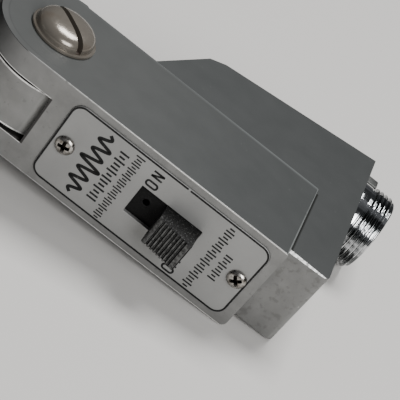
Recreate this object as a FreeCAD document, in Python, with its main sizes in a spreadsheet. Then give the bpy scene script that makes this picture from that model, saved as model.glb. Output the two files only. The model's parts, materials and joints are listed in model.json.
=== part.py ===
import FreeCAD, Part
import math
import os

import Sketcher

# Dynamic hand or stand microphone with a slide switch and a tilting head.
# The frame: +X runs along the handle from the head to the cable connector, -Y is
# the front with the nameplate, +Z is the microphone's right side. The origin is on
# the connector's axis, at the handle's end face. Lengths are in millimetres.

SIZES = {
    # Fork bar: the front casting, whose two arms hold the head.
    "bar_half": 9.35,
    "bar_front": 40.0,
    "bar_rear": 15.5,
    "bar_end": 8.1,
    "bar_wall": 2.6,
    "bar_cavity_half": 6.8,
    "bar_cavity_top": 44.6,
    "arm_round": 11.2,
    "arm_rear_round": 11.0,
    "pivot_from_end": 58.2,
    "pivot_depth": 28.8,
    "slot_half": 5.0,
    "slot_bottom": 52.95,
    "knuckle_room": 11.25,
    "bridge_depth": 3.0,
    "bridge_half": 2.8,
    # Base housing: the rear fin and the end block in one casting.
    "housing_half": 8.1,
    "housing_wall": 1.5,
    "housing_gap": 0.05,
    "toe_front": 36.45,
    "fin_end_rear": 10.1,
    "fin_back_x": 33.8,
    "fin_back_y": 2.6,
    "fin_shoulder_x": 36.9,
    "fin_shoulder_y": 0.5,
    "fin_root": 45.0,
    "end_wall": 2.5,
    "boss_radius": 2.6,
    "boss_past_seat": 0.6,
    "housing_screw_low": 12.6,
    "housing_screw_high": 30.4,
    "screw_sink": 1.5,
    # Nameplate and its screws.
    "plate_top": 49.25,
    "plate_low": 9.8,
    "plate_half": 7.95,
    "plate_thick": 0.8,
    "plate_recess": 0.5,
    "plate_corner": 2.2,
    "plate_room": 0.05,
    "window_top": 33.05,
    "window_low": 20.95,
    "window_half": 2.98,
    "window_room": 0.6,
    "plate_screw_top": 46.75,
    "plate_screw_low": 11.8,
    "small_head": 1.9,
    "small_head_rise": 0.85,
    "small_shank": 0.9,
    "small_shank_long": 2.3,
    "screw_room": 0.15,
    "seat_gap": 0.02,
    # Slide switch.
    "frame_half": 6.2,
    "frame_top": 40.2,
    "frame_low": 13.8,
    "frame_thick": 0.8,
    "can_top": 34.6,
    "can_low": 19.4,
    "can_depth": 5.4,
    "can_wall": 0.5,
    "switch_way_half": 2.63,
    "knob_low": 21.1,
    "knob_long": 6.8,
    "knob_half": 2.85,
    "knob_rise": 4.4,
    "knob_peak": 5.7,
    "knob_land": 1.2,
    "knob_groove": 0.36,
    "knob_groove_deep": 0.3,
    "knob_bevel": 0.4,
    "knob_stem_inset": 1.2,
    "slide_room": 0.08,
    "knob_pitch": 0.86,
    "carriage_long": 7.9,
    "carriage_half": 5.1,
    "carriage_thick": 1.4,
    "switch_screw_top": 37.7,
    "switch_screw_low": 16.3,
    "sink_radius": 1.7,
    "sink_deep": 0.8,
    "flat_head": 1.6,
    "flat_head_deep": 0.72,
    "flat_screw_long": 4.0,
    "contact_half_long": 3.0,
    "contact_half_wide": 0.9,
    "contact_thick": 0.4,
    "terminal_row": 2.9,
    "terminal_pitch": 4.4,
    "board_thick": 1.0,
    "terminal_radius": 0.45,
    "terminal_long": 4.0,
    "terminal_tip": 0.6,
    # Matching transformer.
    "core_mid": 21.5,
    "core_half": 5.6,
    "core_half_wide": 4.4,
    "core_front": 13.6,
    "core_rear": 1.4,
    "core_window": 2.3,
    "core_yoke": 2.2,
    "strap_half": 3.0,
    "coil_room": 0.1,
    "coil_half_wide": 6.3,
    "strap_thick": 0.4,
    # Cable connector.
    "thread_radius": 7.94,
    "thread_start": 3.05,
    "collar_radius": 7.5,
    "seat_radius": 7.2,
    "seat_deep": 1.2,
    "connector_out": 7.0,
    "mouth_bevel": 0.5,
    "cup_radius": 6.4,
    "cup_sunk": 0.2,
    "barrel_radius": 5.3,
    "barrel_bore": 4.4,
    "barrel_long": 7.0,
    "barrel_room": 0.05,
    "nut_radius": 6.4,
    "nut_long": 2.2,
    "insulator_thick": 2.4,
    "contact_radius": 0.9,
    "contact_ring": 2.6,
    "contact_long": 5.2,
    "key_inner_y": 6.2,
    "key_outer_y": 9.6,
    "key_inner_z": 0.6,
    "key_outer_z": 5.6,
    "key_corner": 1.2,
    "key_out": 3.0,
    # Head pivot.
    "pivot_radius": 2.5,
    "pivot_room": 0.05,
    "pivot_head": 5.85,
    "pivot_rim": 0.45,
    "pivot_crown": 2.1,
    "pivot_slot_half": 0.5,
    "pivot_seat": 0.05,
    "pivot_reach": 0.6,
    "washer_thick": 0.34,
    "washer_radius": 7.2,
    "knuckle_radius": 10.9,
    "knuckle_half": 4.6,
    # Head: neck, shells and grille.
    "neck_half_deep": 6.5,
    "neck_end": 79.0,
    "flange_thick": 1.8,
    "flange_spread": 3.2,
    "wire_way": 2.2,
    "wire_way_long": 12.0,
    "collar_start": 73.6,
    "collar_long": 3.0,
    "collar_half_deep": 9.5,
    "collar_half": 9.0,
    "collar_corner": 3.0,
    "neck_screw_past": 1.6,
    "neck_screw_head": 1.0,
    "neck_screw_long": 4.2,
    "head_start": 76.7,
    "head_end": 137.0,
    "head_half": 18.0,
    "head_front": 46.5,
    "head_split": 31.0,
    "head_rear": 13.5,
    "head_corner": 9.0,
    "shell_wall": 1.6,
    "grille_margin": 4.2,
    "grille_sunk": 0.5,
    "grille_border": 2.4,
    "grille_thick": 1.4,
    "grille_rib": 1.3,
    "grille_pitch": 3.6,
    "mesh_thick": 0.4,
    "cloth_thick": 0.8,
    "layer_gap": 0.05,
    "head_post_low": 88.0,
    "head_post_high": 121.0,
    "head_post_side": 15.2,
    "head_post_radius": 2.2,
    "head_post_front": 43.1,
    "head_post_floor": 4.0,
    "head_sink": 1.15,
    # Capsule, centred in the head.
    "capsule_x": 107.0,
    "capsule_radius": 12.0,
    "capsule_front": 40.6,
    "capsule_rear": 24.0,
    "capsule_wall": 0.8,
    "capsule_ring_radius": 16.35,
    "capsule_ring_long": 4.0,
    "capsule_vent": 3.0,
    "cover_sunk": 0.3,
    "cover_thick": 0.8,
    "cover_hole": 1.2,
    "cover_hole_ring": 6.0,
    "dome_radius": 4.35,
    "film_edge": 0.4,
    "magnet_inner": 6.0,
    "magnet_long": 6.0,
    "pole_radius": 4.0,
    "voice_coil_room": 0.12,
    "voice_coil_wall": 0.3,
    "voice_coil_front": 2.75,
    "voice_coil_long": 2.85,
    "plate_drop": 4.0,
    "plate_iron": 1.6,
}

PAST = 1          # how far a cutting shape runs past the face it cuts, in mm
KNOB_GROOVES = 6
CONTACTS = 4
GRILLE_SLOTS = 13
COVER_HOLES = 8

DOCUMENT = FreeCAD.newDocument("microphone")
NODES = []


class Size:
    """A value together with the sheet formula that gives it."""

    def __init__(self, value, text):
        self.value = value
        self.text = text

    def __add__(self, other):
        other = as_size(other)
        return Size(self.value + other.value, f"({self.text} + {other.text})")

    def __radd__(self, other):
        return as_size(other) + self

    def __sub__(self, other):
        other = as_size(other)
        return Size(self.value - other.value, f"({self.text} - {other.text})")

    def __rsub__(self, other):
        return as_size(other) - self

    def __mul__(self, other):
        other = as_size(other)
        return Size(self.value * other.value, f"({self.text} * {other.text})")

    def __truediv__(self, other):
        other = as_size(other)
        return Size(self.value / other.value, f"({self.text} / {other.text})")

    def __neg__(self):
        return Size(-self.value, f"(0 - {self.text})")


def as_size(number):
    """Turn a plain number into a Size."""
    return number if isinstance(number, Size) else Size(float(number), repr(float(number)))


def make_sheet():
    """Write the driving dimensions into a spreadsheet, one alias per row."""
    sheet = DOCUMENT.addObject("Spreadsheet::Sheet", "Sizes")
    for row, (alias, value) in enumerate(SIZES.items(), start=1):
        sheet.set(f"A{row}", alias)
        sheet.set(f"B{row}", str(value))
        sheet.setAlias(f"B{row}", alias)
    DOCUMENT.recompute()
    return sheet


def size(alias):
    """Return the Size that an alias of the sheet drives."""
    return Size(SIZES[alias], f"Sizes.{alias}")


def bind(item, prop, amount):
    """Drive one property of an object by a Size."""
    item.setExpression(prop, as_size(amount).text)


def place(item, x, y, z):
    """Drive an object's position by three Sizes."""
    start = [as_size(value) for value in (x, y, z)]
    item.Placement.Base = FreeCAD.Vector(*[value.value for value in start])
    for letter, value in zip("xyz", start):
        bind(item, f"Placement.Base.{letter}", value)


TURNS = {
    "x": FreeCAD.Rotation(FreeCAD.Vector(0, 1, 0), 90),
    "y": FreeCAD.Rotation(FreeCAD.Vector(1, 0, 0), -90),
    "z": FreeCAD.Rotation(),
}


def box(name, x_range, y_range, z_range):
    """A block between low and high values on each axis."""
    item = DOCUMENT.addObject("Part::Box", name)
    ranges = [tuple(as_size(value) for value in pair) for pair in (x_range, y_range, z_range)]
    for prop, (low, high) in zip(("Length", "Width", "Height"), ranges):
        bind(item, prop, high - low)
    place(item, *[low for low, high in ranges])
    return item


def rod(name, radius, axis, start, length):
    """A cylinder from a start point along +axis."""
    item = DOCUMENT.addObject("Part::Cylinder", name)
    bind(item, "Radius", radius)
    bind(item, "Height", length)
    item.Placement.Rotation = TURNS[axis]
    place(item, *start)
    return item


def cone(name, low_radius, high_radius, axis, start, length):
    """A truncated cone from a start point along +axis."""
    item = DOCUMENT.addObject("Part::Cone", name)
    bind(item, "Radius1", low_radius)
    bind(item, "Radius2", high_radius)
    bind(item, "Height", length)
    item.Placement.Rotation = TURNS[axis]
    place(item, *start)
    return item


def fuse(name, *items):
    """Join shapes into one."""
    item = DOCUMENT.addObject("Part::MultiFuse", name)
    item.Shapes = list(items)
    return item


def cut(name, base, *tools):
    """Take one or more shapes away from a base."""
    item = DOCUMENT.addObject("Part::Cut", name)
    item.Base = base
    item.Tool = tools[0] if len(tools) == 1 else fuse(f"{name}_tools", *tools)
    return item


def group(name, *items):
    """Keep separate solids together in one node."""
    item = DOCUMENT.addObject("Part::Compound", name)
    item.Links = list(items)
    return item


def rounded(name, base, direction, picks):
    """Round the straight edges along a direction that lie at given places.

    picks is a list of (test, radius), where test reads an edge's middle point.
    """
    DOCUMENT.recompute()
    item = DOCUMENT.addObject("Part::Fillet", name)
    item.Base = base
    axis = FreeCAD.Vector(*direction)
    edges = []
    for index, edge in enumerate(base.Shape.Edges, start=1):
        ends = [vertex.Point for vertex in edge.Vertexes]
        if len(ends) != 2 or (ends[1] - ends[0]).cross(axis).Length > 1e-6:
            continue
        middle = (ends[0] + ends[1]) * 0.5
        for test, radius in picks:
            if test(middle):
                edges.append((index, as_size(radius).value, as_size(radius).value))
    if not edges:
        raise RuntimeError(f"{name}: no edge to round")
    item.Edges = edges
    return item


def outline(body, name, points):
    """A closed sketch on the body's XY plane, with every corner driven by the sheet."""
    sketch = body.newObject("Sketcher::SketchObject", name)
    plane = [item for item in body.Origin.OriginFeatures if item.Role == "XY_Plane"][0]
    sketch.AttachmentSupport = (plane, "")
    sketch.MapMode = "FlatFace"
    corners = [(as_size(x), as_size(y)) for x, y in points]
    vectors = [FreeCAD.Vector(x.value, y.value, 0) for x, y in corners]
    count = len(corners)
    for index in range(count):
        sketch.addGeometry(Part.LineSegment(vectors[index], vectors[(index + 1) % count]))
    for index in range(count):
        sketch.addConstraint(Sketcher.Constraint("Coincident", index, 2, (index + 1) % count, 1))
    for index, (x, y) in enumerate(corners):
        for kind, amount, axis_line in (("DistanceX", x, -2), ("DistanceY", y, -1)):
            if abs(amount.value) < 1e-9:
                sketch.addConstraint(Sketcher.Constraint("PointOnObject", index, 1, axis_line))
                continue
            row = sketch.addConstraint(Sketcher.Constraint(kind, -1, 1, index, 1, amount.value))
            sketch.setExpression(f"Constraints[{row}]", amount.text)
    return sketch


def slab(name, points, low, high):
    """A PartDesign body: an outline in X and Y padded from low to high in Z."""
    body = DOCUMENT.addObject("PartDesign::Body", name)
    sketch = outline(body, f"{name}_outline", points)
    pad = body.newObject("PartDesign::Pad", f"{name}_pad")
    pad.Profile = sketch
    bind(pad, "Length", as_size(high) - low)
    place(body, 0, 0, low)
    sketch.Visibility = False
    return body


def turned(name, points, axis, start):
    """A PartDesign body: an outline of (along, radius) points turned about an axis."""
    body = DOCUMENT.addObject("PartDesign::Body", name)
    sketch = outline(body, f"{name}_outline", points)
    revolution = body.newObject("PartDesign::Revolution", f"{name}_turn")
    revolution.Profile = sketch
    revolution.ReferenceAxis = (sketch, ["H_Axis"])
    revolution.Angle = 360
    body.Placement.Rotation = {
        "+x": FreeCAD.Rotation(),
        "-x": FreeCAD.Rotation(FreeCAD.Vector(0, 0, 1), 180),
        "+y": FreeCAD.Rotation(FreeCAD.Vector(0, 0, 1), 90),
        "-y": FreeCAD.Rotation(FreeCAD.Vector(0, 0, 1), -90),
        "+z": FreeCAD.Rotation(FreeCAD.Vector(0, 1, 0), -90),
        "-z": FreeCAD.Rotation(FreeCAD.Vector(0, 1, 0), 90),
    }[axis]
    place(body, *start)
    return body


def node(item, label):
    """Name a finished sub-part after its file."""
    item.Label = label
    NODES.append(item)
    return item


# ---------------------------------------------------------------- handle castings

def make_fork_body():
    """The fork bar: a hollow casting with two round-ended arms and a slot."""
    half = size("bar_half")
    pivot_x = -size("pivot_from_end")
    pivot_y = -size("pivot_depth")
    front = -size("bar_front")
    rear = -size("bar_rear")
    arm_tip = pivot_x - size("arm_round")
    blank = box("bar_blank", (arm_tip, -size("bar_end")), (front, rear), (-half, half))
    tip, face = arm_tip.value, front.value
    blank = rounded("bar_rounded", blank, (0, 0, 1), [
        (lambda p: abs(p.x - tip) < 0.01 and abs(p.y - face) < 0.01, size("arm_round")),
        (lambda p: abs(p.x - tip) < 0.01 and abs(p.y - face) > 0.01, size("arm_rear_round")),
    ])
    slot_half = size("slot_half")
    slot = box("fork_slot", (arm_tip - PAST, -size("slot_bottom")), (front - PAST, rear + PAST),
               (-slot_half, slot_half))
    knuckle_room = rod("knuckle_room_cut", size("knuckle_room"), "z",
                       (pivot_x, pivot_y, -slot_half), slot_half * 2)
    cavity_half = size("bar_cavity_half")
    cavity_low = -(size("bar_end") + size("bar_wall"))
    cavity_front = front + size("bar_wall")
    cavity = box("bar_cavity", (-size("bar_cavity_top"), cavity_low), (cavity_front, rear + PAST),
                 (-cavity_half, cavity_half))
    recess_front = front + size("plate_recess")
    room = size("plate_room")
    recess = box("plate_recess_block",
                 (-(size("plate_top") + room), -(size("plate_low") - room)),
                 (front - PAST, recess_front),
                 (-(size("plate_half") + room), size("plate_half") + room))
    recess = rounded("plate_recess_cut", recess, (0, 1, 0), [(lambda p: True, size("plate_corner"))])
    wide = size("window_room")
    window = box("bar_window", (-(size("window_top") + wide), -(size("window_low") - wide)),
                 (front - PAST, cavity_front + PAST),
                 (-(size("window_half") + wide), size("window_half") + wide))
    tools = [slot, knuckle_room, cavity, recess, window]
    for mark in ("plate_screw_top", "plate_screw_low"):
        tools.append(rod(f"{mark}_hole", size("small_shank"), "y",
                         (-size(mark), recess_front, 0), size("small_shank_long")))
    for mark in ("switch_screw_top", "switch_screw_low"):
        tools.append(rod(f"{mark}_hole", size("small_shank") + room, "y",
                         (-size(mark), front, 0), size("bar_wall") + PAST))
        tools.append(cone(f"{mark}_sink", size("sink_radius"), size("small_shank") + room, "y",
                          (-size(mark), recess_front, 0), size("sink_deep")))
    tools.append(rod("pivot_hole_right", size("pivot_radius"), "z",
                     (pivot_x, pivot_y, slot_half - PAST), half - slot_half + PAST * 2))
    tools.append(rod("pivot_hole_left", size("pivot_radius"), "z",
                     (pivot_x, pivot_y, -(half + PAST)), half - slot_half + PAST * 2))
    hollow = cut("bar_hollow", blank, *tools)
    pieces = [hollow]
    for mark in ("housing_screw_low", "housing_screw_high"):
        middle = -size(mark)
        reach = size("bridge_half")
        bridge = box(f"{mark}_bridge", (middle - reach, middle + reach),
                     (rear - size("bridge_depth"), rear), (-cavity_half, cavity_half))
        bore = rod(f"{mark}_thread", size("small_shank"), "y",
                   (middle, rear - size("bridge_depth") - PAST, 0), size("bridge_depth") + PAST * 2)
        pieces.append(cut(f"{mark}_bridge_bored", bridge, bore))
    return node(fuse("fork_body_solid", *pieces), "fork_body")


def back_depth(mark):
    """Depth of the fin's sloping back at a screw's place along the handle."""
    slope = (size("fin_end_rear") - size("fin_back_y")) / size("fin_back_x")
    return size("fin_end_rear") - size(mark) * slope


def make_base_housing():
    """The rear fin and the end block: one hollow casting behind the fork bar."""
    half = size("housing_half")
    gap = size("housing_gap")
    wall = size("housing_wall")
    joint_y = -size("bar_rear") + gap
    joint_x = -size("bar_end") + gap
    outer = slab("housing_outer", [
        (joint_x, -size("toe_front")),
        (0, -size("toe_front")),
        (0, size("fin_end_rear")),
        (-size("fin_back_x"), size("fin_back_y")),
        (-size("fin_shoulder_x"), size("fin_shoulder_y")),
        (-size("fin_root"), joint_y),
        (joint_x, joint_y),
    ], -half, half)
    inner_half = half - wall
    inner = slab("housing_inner", [
        (joint_x + wall, -size("toe_front") + wall),
        (-size("end_wall"), -size("toe_front") + wall),
        (-size("end_wall"), size("fin_end_rear") - wall * 1.3),
        (-size("fin_back_x"), size("fin_back_y") - wall),
        (-size("fin_shoulder_x") + wall, size("fin_shoulder_y") - wall),
        (-size("fin_root") + wall * 1.3, joint_y - PAST),
        (joint_x + wall, joint_y - PAST),
    ], -inner_half, inner_half)
    bore = rod("connector_bore", size("barrel_radius") + size("barrel_room"), "x",
               (-(size("end_wall") + PAST), 0, 0), size("end_wall") + PAST * 2)
    seat_room = rod("connector_seat_room", size("seat_radius") + size("barrel_room"), "x",
                    (-(size("seat_deep") + size("seat_gap")), 0, 0), size("seat_deep") + PAST)
    shell = cut("housing_shell", outer, inner, bore, seat_room)
    bosses = []
    screw_holes = []
    for mark in ("housing_screw_low", "housing_screw_high"):
        middle = -size(mark)
        start = (middle, joint_y, 0)
        seat = back_depth(mark) - size("screw_sink")
        bosses.append(rod(f"{mark}_boss", size("boss_radius"), "y", start,
                          seat + size("boss_past_seat") - joint_y))
        room = size("screw_room")
        screw_holes.append(rod(f"{mark}_way", size("small_shank") + room, "y", start, seat - joint_y))
        screw_holes.append(rod(f"{mark}_counterbore", size("small_head") + room, "y",
                               (middle, seat, 0), size("fin_end_rear")))
    solid = fuse("housing_with_bosses", shell, *bosses)
    return node(cut("base_housing_solid", solid, *screw_holes), "base_housing")


def pan_screw(name, x, y, z, axis, length):
    """A small screw: a low crowned head on a plain shank, pointing along axis."""
    head, rise, shank = size("small_head"), size("small_head_rise"), size("small_shank")
    return turned(name, [
        (-rise, 0),
        (-rise, head * 0.45),
        (-rise * 0.55, head * 0.88),
        (0, head),
        (0, shank),
        (length, shank),
        (length, 0),
    ], axis, (x, y, z))


def make_housing_screws():
    """Two screws from the back that pull the two castings together."""
    screws = []
    for mark in ("housing_screw_low", "housing_screw_high"):
        seat = back_depth(mark) - size("screw_sink")
        screws.append(pan_screw(f"{mark}_screw", -size(mark), seat, 0, "-y",
                                seat + size("bar_rear") + size("bar_wall")))
    return node(group("housing_screws_group", *screws), "housing_screws")


# ---------------------------------------------------------------- nameplate

def make_nameplate():
    """A thin plate set into the bar's front face, with the switch's window."""
    recess = -size("bar_front") + size("plate_recess")
    face = recess - size("plate_thick")
    half = size("plate_half")
    blank = box("plate_blank", (-size("plate_top"), -size("plate_low")), (face, recess), (-half, half))
    blank = rounded("plate_rounded", blank, (0, 1, 0), [(lambda p: True, size("plate_corner"))])
    window_half = size("window_half")
    window = box("plate_window", (-size("window_top"), -size("window_low")),
                 (face - PAST, recess + PAST), (-window_half, window_half))
    holes = [rod(f"plate_{mark}", size("small_shank") + size("screw_room"), "y",
                 (-size(mark), face - PAST, 0), size("plate_thick") + PAST * 2)
             for mark in ("plate_screw_top", "plate_screw_low")]
    return node(cut("nameplate_solid", blank, window, *holes), "nameplate")


def make_nameplate_screws():
    """Two cross-head screws that hold the nameplate."""
    face = -size("bar_front") + size("plate_recess") - size("plate_thick")
    long = size("small_shank_long") + size("plate_thick") * 0.75
    screws = [pan_screw(f"{mark}_screw", -size(mark), face, 0, "+y", long)
              for mark in ("plate_screw_top", "plate_screw_low")]
    return node(group("nameplate_screws_group", *screws), "nameplate_screws")


# ---------------------------------------------------------------- slide switch

def switch_levels():
    """Depths of the switch: the frame's front, the can's floor and its back."""
    frame_front = -size("bar_front") + size("bar_wall") + size("seat_gap")
    can_front = frame_front + size("frame_thick")
    can_back = can_front + size("can_depth")
    return frame_front, can_front, can_back


def make_switch_frame():
    """A pressed can with two ears, screwed behind the window."""
    frame_front, can_front, can_back = switch_levels()
    half = size("frame_half")
    wall = size("can_wall")
    ears = box("switch_ears", (-size("frame_top"), -size("frame_low")), (frame_front, can_front),
               (-half, half))
    can = box("switch_can", (-size("can_top"), -size("can_low")), (frame_front, can_back), (-half, half))
    room = box("switch_can_room", (-size("can_top") + wall, -size("can_low") - wall),
               (can_front, can_back + PAST), (-half + wall, half - wall))
    window_half = size("switch_way_half")
    way = box("switch_way", (-size("window_top"), -size("window_low")),
              (frame_front - PAST, can_front + PAST), (-window_half, window_half))
    holes = [rod(f"frame_{mark}", size("small_shank"), "y", (-size(mark), frame_front - PAST, 0),
                 size("frame_thick") + PAST * 2)
             for mark in ("switch_screw_top", "switch_screw_low")]
    return node(cut("switch_frame_solid", fuse("switch_frame_blank", ears, can), room, way, *holes),
                "switch_frame")


def make_switch_knob():
    """The sliding button: a ridged block, higher at its low end, on a flat carriage."""
    frame_front, can_front, can_back = switch_levels()
    low = -size("knob_low")
    top = low - size("knob_long")
    face = -size("bar_front")
    base = frame_front - 0.1
    half = size("knob_half")
    cap = slab("knob_cap", [
        (top, base),
        (top, face - size("knob_rise") + size("knob_bevel")),
        (top + size("knob_bevel"), face - size("knob_rise")),
        (low - size("knob_bevel"), face - size("knob_peak")),
        (low, face - size("knob_peak") + size("knob_bevel")),
        (low, base),
    ], -half, half)
    stem_half = size("window_half") - size("window_room")
    inset = size("knob_stem_inset")
    stem = box("knob_stem", (top + inset, low - inset), (base - 0.5, can_front + 0.6),
               (-stem_half, stem_half))
    middle = (low + top) / 2
    reach = size("carriage_long") / 2
    carriage_front = can_front + size("slide_room")
    carriage_half = size("carriage_half")
    carriage = box("knob_carriage", (middle - reach, middle + reach),
                   (carriage_front, carriage_front + size("carriage_thick")),
                   (-carriage_half, carriage_half))
    grooves = []
    climb = (size("knob_peak") - size("knob_rise")) / size("knob_long")
    for step in range(KNOB_GROOVES):
        along = size("knob_land") + size("knob_pitch") * step
        surface = face - size("knob_rise") - climb * along
        grooves.append(box(f"knob_groove_{step}", (top + along, top + along + size("knob_groove")),
                           (surface - PAST, surface + size("knob_groove_deep")),
                          (-half - PAST, half + PAST)))
    ridged = cut("knob_ridged", cap, *grooves)
    return node(fuse("switch_knob_solid", ridged, stem, carriage), "switch_knob")


def make_switch_contact():
    """The springy bridge under the carriage that joins the terminals."""
    can_front = switch_levels()[1]
    middle = -(size("knob_low") + size("knob_long") / 2)
    start = can_front + size("slide_room") + size("carriage_thick") + size("seat_gap")
    long, wide = size("contact_half_long"), size("contact_half_wide")
    strips = []
    for label, side in (("low", -1), ("high", 1)):
        centre = size("terminal_row") * side
        strips.append(box(f"contact_strip_{label}", (middle - long, middle + long),
                          (start, start + size("contact_thick")), (centre - wide, centre + wide)))
    return node(group("switch_contact_group", *strips), "switch_contact")


def make_switch_board():
    """The insulating board that closes the can."""
    can_back = switch_levels()[2]
    wall = size("can_wall") + size("seat_gap")
    half = size("frame_half") - wall
    board = box("board_blank", (-size("can_top") + wall, -size("can_low") - wall),
                (can_back - size("board_thick"), can_back), (-half, half))
    holes = [rod(f"board_hole_{row}_{column}", size("terminal_radius") + size("seat_gap"), "y",
                 (x, can_back - size("board_thick") - PAST, z), size("terminal_long"))
             for row, column, x, z in terminal_places()]
    return node(cut("switch_board_solid", board, *holes), "switch_board")


def terminal_places():
    """Two rows of three terminals: their row, column and place."""
    middle = -(size("can_top") + size("can_low")) / 2
    return [(row, column, middle + size("terminal_pitch") * (column - 1),
             size("terminal_row") * (2 * row - 1))
            for row in range(2) for column in range(3)]


def make_switch_terminals():
    """Six soldering pins through the board."""
    start = switch_levels()[2] - size("board_thick") - size("terminal_tip")
    pins = [rod(f"terminal_{row}_{column}", size("terminal_radius"), "y", (x, start, z),
                size("terminal_long"))
            for row, column, x, z in terminal_places()]
    return node(group("switch_terminals_group", *pins), "switch_terminals")


def make_switch_screws():
    """Two flat-head screws under the nameplate that hold the switch."""
    face = -size("bar_front") + size("plate_recess") + size("seat_gap")
    shank, long = size("small_shank"), size("flat_screw_long")
    screws = []
    for mark in ("switch_screw_top", "switch_screw_low"):
        screws.append(turned(f"{mark}_screw", [
            (0, 0),
            (0, size("flat_head")),
            (size("flat_head_deep"), shank),
            (long, shank),
            (long, 0),
        ], "+y", (-size(mark), face, 0)))
    return node(group("switch_screws_group", *screws), "switch_screws")


# ---------------------------------------------------------------- transformer

def make_transformer():
    """The matching transformer in the fin: laminated core, winding and strap."""
    middle = -size("core_mid")
    reach = size("core_half")
    wide = size("core_half_wide")
    front, rear = -size("core_front"), -size("core_rear")
    opening = size("core_window")
    leg = reach * 0.32
    yoke = size("core_yoke")
    core = box("core_blank", (middle - reach, middle + reach), (front, rear), (-wide, wide))
    windows = []
    for label, low in (("low", middle - leg - opening), ("high", middle + leg)):
        windows.append(box(f"core_window_{label}", (low, low + opening),
                           (front + yoke, rear - yoke), (-wide - PAST, wide + PAST)))
    node(cut("transformer_core_solid", core, *windows), "transformer_core")
    room = size("coil_room")
    coil = box("coil_blank", (middle - leg - opening + room, middle + leg + opening - room),
               (front + yoke + room, rear - yoke - room),
               (-size("coil_half_wide"), size("coil_half_wide")))
    coil_hole = box("coil_hole", (middle - leg - room, middle + leg + room), (front, rear),
                    (-wide - room, wide + room))
    node(cut("transformer_coil_solid", coil, coil_hole), "transformer_coil")
    thick = size("strap_thick")
    strap = box("strap_blank", (middle - reach - thick, middle + reach + thick),
                (front - thick, rear - thick), (-size("strap_half"), size("strap_half")))
    gap = size("seat_gap")
    strap_room = box("strap_room", (middle - reach - gap, middle + reach + gap),
                     (front - gap, rear + PAST), (-size("strap_half") - PAST, size("strap_half") + PAST))
    node(cut("transformer_strap_solid", strap, strap_room), "transformer_strap")


# ---------------------------------------------------------------- cable connector

def make_connector():
    """The chromed connector: threaded shell, nut, insulator and contacts."""
    out = size("connector_out")
    thread = size("thread_radius")
    barrel = size("barrel_radius")
    gap = size("seat_gap")
    bevel = size("mouth_bevel")
    floor = -size("cup_sunk")
    node(turned("connector_shell_solid", [
        (-size("barrel_long"), size("barrel_bore")),
        (-size("barrel_long"), barrel),
        (-size("seat_deep"), barrel),
        (-size("seat_deep"), size("seat_radius")),
        (0, size("seat_radius")),
        (0, size("collar_radius")),
        (size("thread_start"), size("collar_radius")),
        (size("thread_start"), thread),
        (out - bevel, thread),
        (out, thread - bevel),
        (out, size("cup_radius")),
        (floor, size("cup_radius")),
        (floor, size("barrel_bore")),
    ], "+x", (0, 0, 0)), "connector_shell")
    node(turned("connector_nut_solid", [
        (0, barrel + gap),
        (0, size("nut_radius")),
        (size("nut_long"), size("nut_radius")),
        (size("nut_long"), barrel + gap),
    ], "-x", (-(size("end_wall") + gap), 0, 0)), "connector_nut")
    thick = size("insulator_thick")
    disc = turned("insulator_disc", [
        (0, 0),
        (0, size("barrel_bore") - gap),
        (thick, size("barrel_bore") - gap),
        (thick, 0),
    ], "-x", (floor, 0, 0))
    holes = []
    contacts = []
    for index in range(CONTACTS):
        angle = math.radians(360 * (index + 0.5) / CONTACTS)
        y = size("contact_ring") * math.cos(angle)
        z = size("contact_ring") * math.sin(angle)
        holes.append(rod(f"contact_hole_{index}", size("contact_radius") + gap, "x",
                         (floor - thick - PAST, y, z), thick + PAST * 2))
        contacts.append(rod(f"contact_{index}", size("contact_radius"), "x",
                            (floor - size("contact_long"), y, z), size("contact_long")))
    node(cut("connector_insulator_solid", disc, *holes), "connector_insulator")
    node(group("connector_contacts_group", *contacts), "connector_contacts")
    corner_y, corner_z = size("key_outer_y").value, size("key_outer_z").value
    key = box("key_blank", (gap, size("key_out")), (size("key_inner_y"), size("key_outer_y")),
              (size("key_inner_z"), size("key_outer_z")))
    key_room = rod("key_room", size("collar_radius") + size("screw_room"), "x", (-PAST, 0, 0), out)
    key = rounded("key_rounded", key, (1, 0, 0), [
        (lambda p: abs(p.y - corner_y) < 0.01 and abs(p.z - corner_z) < 0.01, size("key_corner"))])
    node(cut("connector_key_solid", key, key_room), "connector_key")


# ---------------------------------------------------------------- head pivot

def make_pivot():
    """Two crowned screws through the arms and a washer beside each."""
    pivot_x = -size("pivot_from_end")
    pivot_y = -size("pivot_depth")
    half = size("bar_half")
    head, rim, crown = size("pivot_head"), size("pivot_rim"), size("pivot_crown")
    inner = half - size("pivot_reach")
    for label, axis, sign in (("pivot_screw_right", "-z", 1), ("pivot_screw_left", "+z", -1)):
        start = (half + size("pivot_seat")) * sign
        screw = turned(f"{label}_turned", [
            (-crown, 0),
            (-crown * 0.94, head * 0.25),
            (-crown * 0.76, head * 0.55),
            (-crown * 0.43, head * 0.84),
            (-rim, head - 0.1),
            (0, head),
            (0, size("pivot_radius")),
            (inner, size("pivot_radius")),
            (inner, 0),
        ], axis, (pivot_x, pivot_y, start))
        slot_half = size("pivot_slot_half")
        floor = start + crown * 0.45 * sign
        past = start + (crown + PAST) * sign
        slot = box(f"{label}_slot_cut", (pivot_x - slot_half, pivot_x + slot_half),
                   (pivot_y - head - PAST, pivot_y + head + PAST),
                   (floor, past) if sign > 0 else (past, floor))
        node(cut(f"{label}_solid", screw, slot), label)
    washer = size("washer_thick")
    for label, sign in (("pivot_washer_right", 1), ("pivot_washer_left", -1)):
        face = size("slot_half") * sign
        low = face - washer - size("seat_gap") if sign > 0 else face + size("seat_gap")
        disc = rod(f"{label}_disc", size("washer_radius"), "z", (pivot_x, pivot_y, low), washer)
        hole = rod(f"{label}_hole", size("pivot_radius") + size("pivot_room"), "z",
                   (pivot_x, pivot_y, low - PAST), washer + PAST * 2)
        node(cut(f"{label}_solid", disc, hole), label)


# ---------------------------------------------------------------- head

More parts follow.
